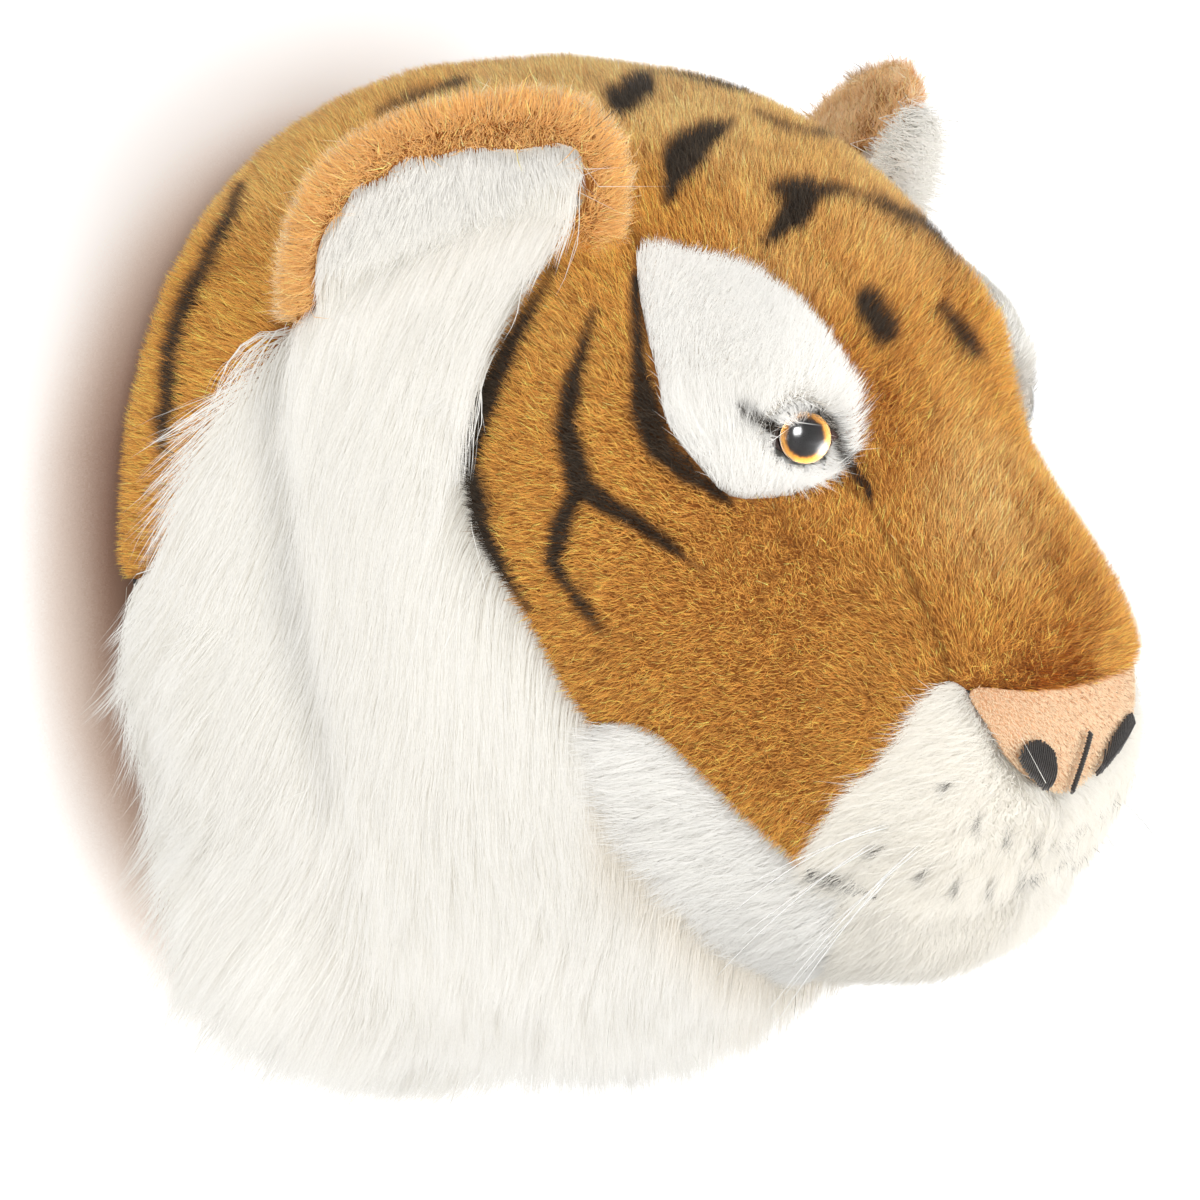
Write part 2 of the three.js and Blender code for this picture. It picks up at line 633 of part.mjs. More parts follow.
// The ring: one closed wire, straight where it turns in the strap
function hangerRing() {
  const side = (ringWidth + wire) / 2;
  const crownHeight = ringHeight + wire - side;
  const path = new THREE.Path().moveTo(ringCorner - side, 0).lineTo(side - ringCorner, 0);
  path.absarc(side - ringCorner, ringCorner, ringCorner, -Math.PI / 2, 0);
  path.absarc(0, crownHeight, side, 0, Math.PI);
  path.absarc(ringCorner - side, ringCorner, ringCorner, Math.PI, 1.5 * Math.PI);
  const centres = path.getSpacedPoints(36).slice(0, -1);
  const sides = 8;
  const rows = centres.map((centre, i) => {
    const before = centres[(i + centres.length - 1) % centres.length];
    const after = centres[(i + 1) % centres.length];
    const outward = new THREE.Vector2(after.y - before.y, before.x - after.x).normalize();
    return Array.from({ length: sides }, (_, j) => {
      const turn = (-fullTurn * j) / sides;
      const reach = (wire / 2) * Math.cos(turn);
      return new THREE.Vector3(centre.x + outward.x * reach, centre.y + outward.y * reach, (wire / 2) * Math.sin(turn));
    });
  });
  const geometry = closedLoop(rows);
  return inBack(geometry.rotateX(ringLean).translate(0, 0, hingeOut));
}

// A solid from rings of points whose last ring joins the first
function closedLoop(rows) {
  const sides = rows[0].length;
  const corners = rows.flatMap((_, i) =>
    rows[i].flatMap((__, j) => {
      const a = i * sides;
      const b = ((i + 1) % rows.length) * sides;
      const k = (j + 1) % sides;
      return [a + j, a + k, b + k, a + j, b + k, b + j];
    }),
  );
  const geometry = new THREE.BufferGeometry();
  geometry.setAttribute("position", new THREE.Float32BufferAttribute(rows.flat().flatMap((p) => p.toArray()), 3));
  geometry.setIndex(corners);
  return geometry;
}

const board = screwDrops.reduce(
  (left, drop) => left.subtract(screwBore(drop)),
  filled.intersect(slab(boardRear, boardFront)).subtract(pocket),
);
const backCover = filled.intersect(slab(0, coverThickness)).subtract(pocket);
const filling = filled
  .subtract(slab(-far, boardFront + seam))
  .subtract(eyeRooms);

const finishes = {
  orange_plush: { color: 0xc98a45, roughness: 0.95 },
  white_plush: { color: 0xf4f1ea, roughness: 0.95 },
  velour: { color: 0xf0c193, roughness: 0.9 },
  thread: { color: 0x26221f, roughness: 0.8 },
  amber: { color: 0xa85f16, roughness: 0.25 },
  brown_plastic: { color: 0x2b1710, roughness: 0.3 },
  clear: { color: 0xf5f5f5, roughness: 0.05, transparent: true, opacity: 0.35 },
  nylon: { color: 0xf6f6f4, roughness: 0.3 },
  white_plastic: { color: 0xe9e7e2, roughness: 0.5 },
  fibre: { color: 0xf7f7f5, roughness: 1 },
  board: { color: 0xb08a5e, roughness: 0.85 },
  felt: { color: 0x2f2c2a, roughness: 1 },
  steel: { color: 0xb9bcc0, roughness: 0.35, metalness: 1 },
};
const materials = Object.fromEntries(
  Object.entries(finishes).map(([name, finish]) => [name, new THREE.MeshStandardMaterial({ name, ...finish })]),
);

const trophyHead = new THREE.Group();
trophyHead.name = "plush_trophy_head";

function place(name, solid, material) {
  const mesh = new THREE.Mesh(toGeometry(solid), materials[material]);
  mesh.name = name;
  trophyHead.add(mesh);
}

function placePair(name, solid, material) {
  place(`${name}_right`, solid, material);
  place(`${name}_left`, mirror(solid), material);
}

place("back_cover", backCover, "felt");
place("back_board", board, "board");
place("hanger_strap", strap(), "steel");
place("hanger_ring", hangerRing(), "steel");
screwDrops.forEach((drop, i) => place(`hanger_screw_${i + 1}`, screw(drop), "steel"));
place("fibre_filling", filling, "fibre");
place("neck_band", neck, "orange_plush");
place("crown_panel", crown, "orange_plush");
place("nose_panel", nose, "velour");
place("nose_line", philtrum, "thread");
place("chin_panel", chin, "white_plush");
placePair("cheek_panel", cheek, "orange_plush");
placePair("eye_patch", eyePatch, "white_plush");
placePair("muzzle_pad", muzzlePad, "white_plush");
placePair("jaw_panel", jaw, "white_plush");
placePair("ruff_front", ruffFront, "white_plush");
placePair("ruff_rear", ruffRear, "white_plush");
placePair("ear_back", ear, "orange_plush");
placePair("ear_lining", earLining, "white_plush");
placePair("nostril", nostril, "thread");
placePair("mouth_corner", mouthCorner, "thread");
placePair("eye_backing", eyeBacking(), "brown_plastic");
placePair("eye_iris", eyeIris(), "amber");
placePair("eye_dome", eyeDome(), "clear");
placePair("eye_washer", eyeWasher(), "white_plastic");
whiskers.forEach((path, i) => placePair(`whisker_${i + 1}`, whisker(path), "nylon"));

export default trophyHead;
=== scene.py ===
import bpy
import math
import numpy as np
from mathutils import Matrix, Vector
from mathutils.bvhtree import BVHTree
from mathutils.kdtree import KDTree


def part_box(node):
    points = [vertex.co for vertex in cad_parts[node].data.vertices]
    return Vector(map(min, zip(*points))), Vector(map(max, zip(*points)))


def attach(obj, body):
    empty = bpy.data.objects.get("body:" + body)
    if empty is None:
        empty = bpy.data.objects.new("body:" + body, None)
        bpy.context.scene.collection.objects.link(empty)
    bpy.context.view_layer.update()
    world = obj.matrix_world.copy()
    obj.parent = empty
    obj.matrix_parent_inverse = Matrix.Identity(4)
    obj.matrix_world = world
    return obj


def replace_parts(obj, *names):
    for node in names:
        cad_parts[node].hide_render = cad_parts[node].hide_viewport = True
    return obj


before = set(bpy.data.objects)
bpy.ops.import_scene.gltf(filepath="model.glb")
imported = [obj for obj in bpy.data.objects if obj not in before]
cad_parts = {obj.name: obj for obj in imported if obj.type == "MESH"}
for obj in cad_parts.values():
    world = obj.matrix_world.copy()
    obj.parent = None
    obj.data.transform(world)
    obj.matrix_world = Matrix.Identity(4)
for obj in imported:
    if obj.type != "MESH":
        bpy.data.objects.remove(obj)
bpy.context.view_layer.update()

# The head's form. The stuffed cover is one loft of sections parallel to the wall, with swellings for
# the brows and muzzle pads and hollows for the eye sockets. All sizes are in millimetres, as in the
# CAD source, and a mesh gets metres. "Lift" is a height above the tips of the short pile.
MM = 0.001

SECTIONS = np.array([
    # out, top, bottom, half, middle, above, below
    (-14, 103, -108, 98, -2, 2.15, 2.15),
    (0, 118, -118, 107, -2, 2.15, 2.15),
    (14, 127.5, -127, 113, -4, 2.15, 2.15),
    (40, 136, -133, 116, -6, 2.15, 2.15),
    (75, 139, -134, 116, -8, 2.2, 2.2),
    (110, 136, -130, 114, -10, 2.2, 2.2),
    (140, 127, -122, 107, -14, 2.2, 2.2),
    (165, 115, -116, 97, -20, 2.1, 2.3),
    (185, 101, -113, 84, -28, 2.0, 2.4),
    (200, 84, -112, 73, -36, 1.9, 2.5),
    (212, 62, -111, 64, -43, 1.9, 2.5),
    (224, 42, -106, 57, -45, 2.0, 2.5),
    (236, 27, -92, 50, -43, 2.2, 2.4),
    (246, 15, -74, 43, -37, 2.3, 2.3),
    (254, 4, -56, 34, -30, 2.3, 2.2),
    (260, -7, -38, 21, -24, 2.2, 2.2),
    (262.5, -21, -22, 0.5, -21.5, 2, 2),
])
LAST = len(SECTIONS) - 1
RISES = np.diff(SECTIONS, axis=0)
TURNING = RISES[:-1] * RISES[1:] > 0
SLOPES = np.vstack([
    RISES[:1],
    np.where(TURNING, 2 * RISES[:-1] * RISES[1:] / np.where(TURNING, RISES[:-1] + RISES[1:], 1), 0),
    RISES[-1:],
])
SWELLINGS = [((52, -194, 62), 25, 11), ((52, -203, 38), 13, -5), ((40, -228, -50), 26, 5)]


def unit(v):
    return v / np.maximum(np.linalg.norm(v, axis=-1, keepdims=True), 1e-9)


def smoothstep(x, low, high):
    t = np.clip((x - low) / (high - low), 0, 1)
    return t * t * (3 - 2 * t)


def column(values):
    return np.asarray(values)[..., None]


def along_surface(direction, outward):
    """The part of a direction that lies in the surface"""
    return unit(direction - outward * (direction * outward).sum(-1, keepdims=True))


def section_at(place):
    i = np.clip(np.floor(place * LAST).astype(int), 0, LAST - 1)
    f = column(place * LAST - i)
    start = (1 + 2 * f) * (1 - f) ** 2 * SECTIONS[i] + f * (1 - f) ** 2 * SLOPES[i]
    return np.moveaxis(start + f * f * (3 - 2 * f) * SECTIONS[i + 1] - f * f * (1 - f) * SLOPES[i + 1], -1, 0)


def plain_point(place, turn):
    out, top, bottom, half, middle, above, below = section_at(place)
    up, side = np.cos(turn), np.sin(turn)
    power = 2 / np.where(up >= 0, above, below)
    reach = np.where(up >= 0, top - middle, middle - bottom)
    across = -half * np.sign(side) * np.abs(side) ** power
    return np.stack([across, -out, middle + reach * np.sign(up) * np.abs(up) ** power], -1)


def head_point(place, turn, lift=0.0):
    step = 1e-3
    point = plain_point(place, turn)
    along = plain_point(np.minimum(place + step, 1), turn) - plain_point(np.maximum(place - step, 0), turn)
    around = plain_point(place, turn + step) - plain_point(place, turn - step)
    mirrored = np.concatenate([np.abs(point[..., :1]), point[..., 1:]], -1)
    rise = sum(
        h * np.exp(-((mirrored - np.array(at)) ** 2).sum(-1) / spread**2) for at, spread, h in SWELLINGS
    )
    return point + unit(np.cross(around, along)) * column(rise + lift)


# The same form as a grid of points, from the wall (place 1/16) to the nose, all the way round
ROWS, COLUMNS = 380, 480
PLACES, TURNS = np.linspace(1 / LAST, 1, ROWS), np.arange(COLUMNS) * 2 * math.pi / COLUMNS
GRID_PLACE, GRID_TURN = np.meshgrid(PLACES, TURNS, indexing="ij")
TIPS = head_point(GRID_PLACE, GRID_TURN)
OUTWARD = unit(np.cross(np.roll(TIPS, -1, 1) - np.roll(TIPS, 1, 1), np.gradient(TIPS, axis=0)))
OUTWARD[-1] = (0, -1, 0)


def blended(values, i, j, k, u, v):
    """Between rows i and i + 1 and columns j and k of a grid, at the shares u and v"""
    low, high = (values[row, j] * (1 - v) + values[row, k] * v for row in (i, i + 1))
    return low * (1 - u) + high * u


def on_grid(values, place, turn):
    row = np.clip((place - PLACES[0]) / (PLACES[1] - PLACES[0]), 0, ROWS - 1.001)
    side = (turn / (2 * math.pi) * COLUMNS) % COLUMNS
    i, j = row.astype(int), side.astype(int) % COLUMNS
    shape = (-1,) + (1,) * (values.ndim - 2)
    u, v = (row - i).reshape(shape), (side - np.floor(side)).reshape(shape)
    return blended(values, i, j, (j + 1) % COLUMNS, u, v)


def over_head(points):
    """How high points are above the short pile's tips, and the place and turn below them"""
    place = np.interp(-points[:, 1], SECTIONS[:, 0], np.arange(LAST + 1) / LAST)
    _, top, bottom, half, middle, above, below = section_at(place)
    rise = points[:, 2] - middle
    power = np.where(rise >= 0, above, below)
    x = np.abs(points[:, 0]) / half
    z = np.abs(rise) / np.where(rise >= 0, top - middle, middle - bottom)
    size = np.maximum((x**power + z**power) ** (1 / power), 0.05)
    turn = np.arctan2(x ** (power / 2), np.sign(rise) * z ** (power / 2))
    turn = np.where(points[:, 0] > 0, 2 * math.pi - turn, turn)
    outward = on_grid(OUTWARD, place, turn)
    radial = np.stack([points[:, 0], 0 * rise, rise], -1)
    facing = (unit(radial) * outward).sum(-1)
    return np.linalg.norm(radial, axis=-1) * (1 - 1 / size) * facing, place, turn, outward


# The seams are lines of a drawing of the head from its front right, and so are its markings.
# The left half takes them mirrored. A step of the drawing is 0.29 mm.
DRAWING_STEP, DRAWING_WIDTH = 0.29, 1200


def ahead_at(turn, rise):
    return np.array((math.sin(turn) * math.cos(rise), -math.cos(turn) * math.cos(rise), math.sin(rise)))


DRAWING_TURN, DRAWING_RISE, DRAWING_DISTANCE = math.radians(-53), math.radians(9), 1400.0
DRAWING_CENTRE = np.array((0, -92, -18.0))
DRAWING_BACK = ahead_at(DRAWING_TURN, DRAWING_RISE)
DRAWING_RIGHT = np.array((math.cos(DRAWING_TURN), math.sin(DRAWING_TURN), 0))
DRAWING_UP = np.cross(DRAWING_BACK, DRAWING_RIGHT)
DRAWING_EYE = DRAWING_CENTRE + DRAWING_BACK * DRAWING_DISTANCE


def as_drawn(points):
    """Where points are seen on the drawing, [right, up]"""
    away = points - DRAWING_CENTRE
    scale = DRAWING_DISTANCE / (DRAWING_DISTANCE - away @ DRAWING_BACK)
    return np.stack([away @ DRAWING_RIGHT * scale, away @ DRAWING_UP * scale], -1)


def flip_of(points):
    """What mirrors the points of the left half, and leaves the right half"""
    return np.where(points[..., :1] > 0, (-1, 1, 1), (1, 1, 1))


def to_right(points):
    return points * flip_of(points)


def smooth_loop(corners, steps):
    """A closed centripetal Catmull-Rom curve through the corners"""
    p = [np.roll(np.array(corners, float), s, 0) for s in (1, 0, -1, -2)]
    d = [np.sqrt(np.maximum(np.linalg.norm(b - a, axis=1, keepdims=True), 1e-6)) for a, b in zip(p, p[1:])]
    t1 = ((p[1] - p[0]) / d[0] - (p[2] - p[0]) / (d[0] + d[1]) + (p[2] - p[1]) / d[1]) * d[1]
    t2 = ((p[2] - p[1]) / d[1] - (p[3] - p[1]) / (d[1] + d[2]) + (p[3] - p[2]) / d[2]) * d[1]
    runs = []
    for f in np.arange(steps) / steps:
        bend = (3 * (p[2] - p[1]) - 2 * t1 - t2) * f**2
        runs.append(p[1] + t1 * f + bend + (2 * (p[1] - p[2]) + t1 + t2) * f**3)
    return np.stack(runs, 1).reshape(-1, p[0].shape[1])


def depth_inside(points, loop):
    """Distance of 2-D points from a closed outline, positive inside it"""
    nearest = np.full(len(points), 1e9)
    inside = np.zeros(len(points), bool)
    for a, b in zip(loop, np.roll(loop, -1, 0)):
        run, away = b - a, points - a
        share = np.clip(away @ run / max(run @ run, 1e-9), 0, 1)
        nearest = np.minimum(nearest, ((away - share[:, None] * run) ** 2).sum(1))
        crosses = (a[1] > points[:, 1]) != (b[1] > points[:, 1])
        if crosses.any():
            inside ^= crosses & (away[:, 0] < (away[:, 1] * run[0]) / (run[1] if run[1] else 1e-9))
    return np.where(inside, 1, -1) * np.sqrt(nearest)


FACE_EDGE = [
    (-12, -26), (-19, -12), (-29, 4), (-38, 20), (-41, 38),
    (-38, 58), (-30, 77), (-20, 94), (-12, 106), (-4, 116),
]
CHEEK_TO_JAW = [(-3, -39), (6, -37), (16, -40), (29, -52), (45, -68), (60, -81)]
CHEEK_TO_MUZZLE = [(69, -61), (81, -49), (91, -35), (101, -23)]
MOUTH_LINE = [(72, -87), (86, -90), (102, -91), (116, -87), (126, -82)]
JAW_TO_RUFF = [(67, -112), (41, -104), (23, -88), (10, -75), (1, -58)]
# Panels in the order in which they take their room
SEAMS = {
    "eye_patch": [
        (12, 105), (27, 104), (43, 100), (55, 93), (67, 82), (73, 72), (77, 61), (74, 49),
        (73, 42), (68, 37), (58, 32), (39, 30), (29, 39), (19, 52), (16, 66), (12, 87),
    ],
    "nose": [
        (108, -26), (116, -39), (122, -48), (130, -55), (137, -58),
        (152, -54), (160, -40), (160, -27), (128, -27),
    ],
    "muzzle": CHEEK_TO_MUZZLE + [(108, -26), (150, -48), (150, -66)] + MOUTH_LINE[::-1] + [(60, -81)],
    "chin": MOUTH_LINE + [(150, -80), (150, -140), (87, -125), (67, -112), (70, -100)],
    "jaw": CHEEK_TO_JAW + [(72, -87), (70, -100)] + JAW_TO_RUFF,
    "ruff": [
        (-85, 82), (-96, 81), (-98, 72), (-109, 58), (-122, 32), (-133, 9), (-175, -8), (-175, -190),
        (87, -190), (87, -125), *JAW_TO_RUFF, (-3, -39), *FACE_EDGE,
        (-8, 124), (-41, 112), (-72, 100), (-78, 96),
    ],
    "cheek": [
        (-4, 116), (3, 117), (12, 105), (39, 64), (68, 37), (78, 29), (88, 12), (99, -12),
        *CHEEK_TO_MUZZLE[::-1], *CHEEK_TO_JAW[::-1], *FACE_EDGE[:-1],
    ],
}
NECK_OUT, PARTING_OUT = 62.0, 82.0

# Depths inside every outline, drawn once a millimetre
SHEET_LOW, SHEET_SIZE = np.array((-210, -230)), np.array((421, 411))
SHEET = (np.indices(SHEET_SIZE).reshape(2, -1).T + SHEET_LOW).astype(float)
DEPTHS = {
    name: depth_inside(SHEET, smooth_loop(outline, 4)).reshape(SHEET_SIZE) for name, outline in SEAMS.items()
}


def depth_in(name, drawn):
    at = np.clip(drawn - SHEET_LOW, 0, SHEET_SIZE - 1.01)
    i, j = at[:, 0].astype(int), at[:, 1].astype(int)
    return blended(DEPTHS[name], i, j, j + 1, at[:, 0] - i, at[:, 1] - j)


ORANGE_PANELS = ("crown", "neck", "cheek")
WHOLE = {
    "eye_patch": "eye_patch", "nose": "nose_panel", "muzzle": "muzzle_pad", "chin": "chin_panel",
    "jaw": "jaw_panel", "ruff_front": "ruff_front", "ruff_rear": "ruff_rear", "cheek": "cheek_panel",
    "crown": "crown_panel", "neck": "neck_band",
}


def panel_depths(points):
    """How far points are inside each panel"""
    drawn, out = as_drawn(to_right(points)), -points[:, 1]
    depths, left = {}, np.full(len(points), 99.0)
    for name in SEAMS:
        inside = depth_in(name, drawn)
        depths[name] = np.minimum(inside, left)
        left = np.minimum(left, -inside)
    depths["ruff_front"] = np.minimum(depths["ruff"], out - PARTING_OUT)
    depths["ruff_rear"] = np.minimum(depths.pop("ruff"), PARTING_OUT - out)
    depths["crown"] = np.minimum(left, out - NECK_OUT)
    depths["neck"] = np.minimum(left, NECK_OUT - out)
    return depths


GRID_DEPTHS = {name: depth.reshape(ROWS, COLUMNS) for name, depth in panel_depths(TIPS.reshape(-1, 3)).items()}

# Eyes sit in a pocket of the cover. Their own frame is [right, up, outward] from the pile tips.
EYE_TURN, EYE_RISE = math.radians(-42), math.radians(4)
EYE_OUT = Vector(ahead_at(EYE_TURN, EYE_RISE))
EYE_RIGHT = Vector((math.cos(EYE_TURN), math.sin(EYE_TURN), 0))
WASHER_MIDDLE = -9.6
EYE_AXES = np.array([EYE_RIGHT, EYE_OUT.cross(EYE_RIGHT), EYE_OUT])
EYE_AT = np.array(sum(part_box("eye_washer_right"), Vector()) / 2 / MM) - EYE_AXES[2] * WASHER_MIDDLE


def in_eye(points):
    return (to_right(points) - EYE_AT) @ EYE_AXES.T


# What all pieces share: the numbers of points on rings, a mesh that rides on the head in its node's
# place, and materials whose colour, gloss and relief vary with a fine grain.
SIDES = {-1: "_right", 1: "_left"}


def shade(red, green, blue):
    """Linear colour of an 8-bit sRGB one"""
    s = np.array((red, green, blue)) / 255
    return np.where(s <= 0.04045, s / 12.92, ((s + 0.055) / 1.055) ** 2.4)


def ring_points(rings, sides):
    """Numbers of the points of rings one after the other, and of each point's neighbour round the ring"""
    here = np.arange(rings * sides).reshape(rings, sides)
    return here, np.roll(here, -1, 1)


def quads(here, after):
    return np.stack([here[:-1], after[:-1], after[1:], here[1:]], -1).reshape(-1, 4)


def triangles(here, after):
    halves = (here[:-1], after[:-1], after[1:]), (here[:-1], after[1:], here[1:])
    return np.concatenate([np.stack(half, -1).reshape(-1, 3) for half in halves])


def make_piece(name, points, faces, material, node, slot):
    mesh = bpy.data.meshes.new(name)
    mesh.from_pydata((points * MM).tolist(), [], faces.tolist() if isinstance(faces, np.ndarray) else faces)
    mesh.polygons.foreach_set("use_smooth", np.ones(len(mesh.polygons), bool))
    mesh.materials.append(material)
    made = bpy.data.objects.new(name, mesh)
    bpy.context.scene.collection.objects.link(made)
    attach(made, "head")
    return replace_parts(made, node)


def make_pair(name, points, faces, material, node, slot):
    """A piece of the right side, and its mirror image"""
    make_piece(name + "_right", points, faces, material, node + "_right", slot)
    mirrored = [face[::-1] for face in faces]
    make_piece(name + "_left", points * (-1, 1, 1), mirrored, material, node + "_left", slot)


def new_material(name, color=(0.8, 0.8, 0.8), roughness=0.8, **settings):
    made = bpy.data.materials.new(name)
    made.use_nodes = True
    shader = made.node_tree.nodes["Principled BSDF"]
    shader.inputs["Base Color"].default_value = (*color, 1)
    shader.inputs["Roughness"].default_value = roughness
    for socket, value in settings.items():
        shader.inputs[socket.replace("_", " ")].default_value = value
    return made, made.node_tree, shader


def add_node(tree, kind, inputs=(), **settings):
    node = tree.nodes.new(kind)
    for key, value in settings.items():
        setattr(node, key, value)
    for socket, value in dict(inputs).items():
        if isinstance(value, bpy.types.NodeSocket):
            tree.links.new(value, node.inputs[socket])
        else:
            node.inputs[socket].default_value = value
    return node


def mapped(tree, value, low, high, start=0.0, end=1.0):
    """A value between start and end, taken to low and high"""
    sockets = {"Value": value, "From Min": start, "From Max": end, "To Min": low, "To Max": high}
    return add_node(tree, "ShaderNodeMapRange", sockets).outputs[0]


def number(tree, operation, *values):
    return add_node(tree, "ShaderNodeMath", dict(enumerate(values)), operation=operation).outputs[0]


def vector(tree, operation, *values):
    made = add_node(tree, "ShaderNodeVectorMath", dict(enumerate(values)), operation=operation)
    return made.outputs["Value" if operation in ("LENGTH", "DOT_PRODUCT") else "Vector"]


def grain(tree, scale, detail=2.0, stretch=None):
    """Noise over the object's own coordinates, with scale in waves per metre"""
    place = add_node(tree, "ShaderNodeTexCoord").outputs["Object"]
    if stretch:
        place = add_node(tree, "ShaderNodeMapping", {"Vector": place, "Scale": stretch}).outputs["Vector"]
    sockets = {"Vector": place, "Scale": scale, "Detail": detail}
    return add_node(tree, "ShaderNodeTexNoise", sockets).outputs["Fac"]


def add_bump(tree, shader, height, distance, strength=0.5):
    bump = add_node(tree, "ShaderNodeBump", {"Height": height, "Distance": distance, "Strength": strength})
    tree.links.new(bump.outputs["Normal"], shader.inputs["Normal"])


def color_ramp(tree, factor, stops, interpolation="LINEAR"):
    ramp = add_node(tree, "ShaderNodeValToRGB", {"Fac": factor})
    ramp.color_ramp.interpolation = interpolation
    for i, (at, color) in enumerate(stops):
        stop = ramp.color_ramp.elements[i] if i < 2 else ramp.color_ramp.elements.new(at)
        stop.position, stop.color = at, (*color, 1)
    return ramp.outputs["Color"]


def tinted(tree, shader, factor, stops):
    tone = color_ramp(tree, factor, stops)
    tree.links.new(tone, shader.inputs["Base Color"])
    return tone


def grained(name, middle, roughness, waves, dark, pale, at=(0.3, 0.7), relief=0, **settings):
    """A material that goes from dark to pale with its grain, and stands out with it where there is relief"""
    made, tree, shader = new_material(name, shade(*middle), roughness, **settings)
    noise = grain(tree, *waves)
    tinted(tree, shader, noise, [(at[0], shade(*dark)), (at[1], shade(*pale))])
    if relief:
        add_bump(tree, shader, noise, relief)
    return made, tree, shader


def drift(points, size, seed):
    """A smooth random field, about -1 to 1, that changes over the given size"""
    luck = np.random.default_rng(seed)
    waves, starts = luck.normal(size=(14, 3)) / size, luck.uniform(0, 2 * math.pi, 14)
    return sum(np.sin(points @ wave + start) for wave, start in zip(waves, starts)) / math.sqrt(14)


def drifts(points, size, seed):
    return np.stack([drift(points, size, seed + k) for k in range(3)], -1)


# Strands: each is a narrow ribbon that tapers to one point. Its normals lean towards the direction in which
# the pile faces, as light sees dense pile, and its colour runs from a darker root to the tip: the fibres' own
# tipped colour, with painted shade deep in the pile.
def fur_material(name, roughness, sheen, gloss):
    made, tree, shader = new_material(
        name, roughness=roughness, Sheen_Weight=sheen, Sheen_Roughness=0.35, Specular_IOR_Level=gloss
    )
    tone = add_node(tree, "ShaderNodeAttribute", attribute_name="pile").outputs["Color"]
    speckle = mapped(tree, grain(tree, 1400), 0.88, 1.12)
    tree.links.new(vector(tree, "MULTIPLY", tone, speckle), shader.inputs["Base Color"])
    return made


ORANGE_PILE = fur_material("orange pile", 0.5, 0.06, 0.25)
WHITE_PILE = fur_material("white pile", 0.65, 0.1, 0.2)
VELOUR_PILE = fur_material("velour pile", 0.75, 0.2, 0.2)


def make_strands(name, paths, outward, width, tones, material, node, luck, rounding=0.35, lay=0.75):
    """A piece of strands: paths and tones (n, levels, 3), width (n), and outward for each strand or level"""
    count, levels = paths.shape[:2]
    if outward.ndim == 2:
        outward = np.repeat(outward[:, None], levels, 1)
    heading = unit(np.gradient(paths, axis=1))
    across = np.cross(heading, outward)
    across = unit(unit(across) + outward * luck.normal(0, 0.45, (count, 1, 1)))
    share = np.linspace(0, 1, levels)[None, :, None]
    half = across * width[:, None, None] / 2 * (1 - share**1.6) ** 0.7
    left, right = paths - half, paths + half
    edges = np.stack([left[:, :-1], right[:, :-1]], 2).reshape(count, -1, 3)
    points = np.concatenate([edges, paths[:, -1:]], 1)
    face_out = unit(np.cross(across, heading))
    face_out *= np.sign((face_out * outward).sum(-1, keepdims=True) + 1e-9)
    base = outward * lay + face_out * (1 - lay)
    sides = np.stack([base[:, :-1] - across[:, :-1] * rounding, base[:, :-1] + across[:, :-1] * rounding], 2)
    normals = unit(np.concatenate([sides.reshape(count, -1, 3), base[:, -1:]], 1))
    colors = np.concatenate([np.repeat(tones[:, :-1], 2, 1), tones[:, -1:]], 1)
    per = 2 * (levels - 1) + 1
    steps = []
    for k in range(levels - 2):
        steps += [(2 * k, 2 * k + 1, 2 * k + 3), (2 * k, 2 * k + 3, 2 * k + 2)]
    steps.append((per - 3, per - 2, per - 1))
    faces = (np.arange(count)[:, None, None] * per + np.array(steps)[None]).reshape(-1, 3).astype(np.int32)

    mesh = bpy.data.meshes.new(name)
    mesh.vertices.add(count * per)
    mesh.vertices.foreach_set("co", (points * MM).astype(np.float32).ravel())
    mesh.loops.add(faces.size)
    mesh.loops.foreach_set("vertex_index", faces.ravel())
    mesh.polygons.add(len(faces))
    mesh.polygons.foreach_set("loop_start", np.arange(0, faces.size, 3, dtype=np.int32))
    mesh.polygons.foreach_set("use_smooth", np.ones(len(faces), bool))
    mesh.update(calc_edges=True)
    tone = mesh.attributes.new("pile", "FLOAT_COLOR", "POINT")
    rgba = np.concatenate([colors, np.ones((*colors.shape[:2], 1))], -1)
    tone.data.foreach_set("color", rgba.astype(np.float32).ravel())
    _, place, turn, _ = over_head(paths[:, 0])
    spot = np.stack([(turn / (2 * math.pi)) % 1, place], -1) * 0.96 + 0.02
    wide = np.concatenate([np.tile([(-1, 0), (1, 0)], (levels - 1, 1)), [(0, 0)]]) * 4e-4
    wide[:, 1] = np.concatenate([np.repeat(np.arange(levels - 1), 2), [levels - 1]]) / (levels - 1) * 3e-3
    uv = (spot[:, None] + wide[None]).reshape(-1, 2)[faces.ravel()]
    mesh.uv_layers.new(name="OFBake").data.foreach_set("uv", uv.astype(np.float32).ravel())
    mesh.materials.append(material)
    mesh.normals_split_custom_set_from_vertices(normals.reshape(-1, 3))
    made = bpy.data.objects.new(name, mesh)
    bpy.context.scene.collection.objects.link(made)
    made.visible_shadow = False  # light passes through pile, and the cloth below it throws the shadows
    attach(made, "head")
    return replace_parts(made, node)


def scatter(area_points, density, luck):
    """Places over a grid of points, so many to a square millimetre: rows, columns and shares"""
    right, below = np.roll(area_points, -1, 1)[:-1], area_points[1:]
    area = np.linalg.norm(np.cross(right - area_points[:-1], below - area_points[:-1]), axis=-1)
    expected = np.cumsum((area * density[:-1]).ravel())
    count = int(expected[-1])
    at = (np.arange(count) + luck.random(count)) / count * expected[-1]
    cell = np.minimum(np.searchsorted(expected, at), expected.size - 1)
    return np.divmod(cell, area.shape[1]), luck.random(count), luck.random(count)


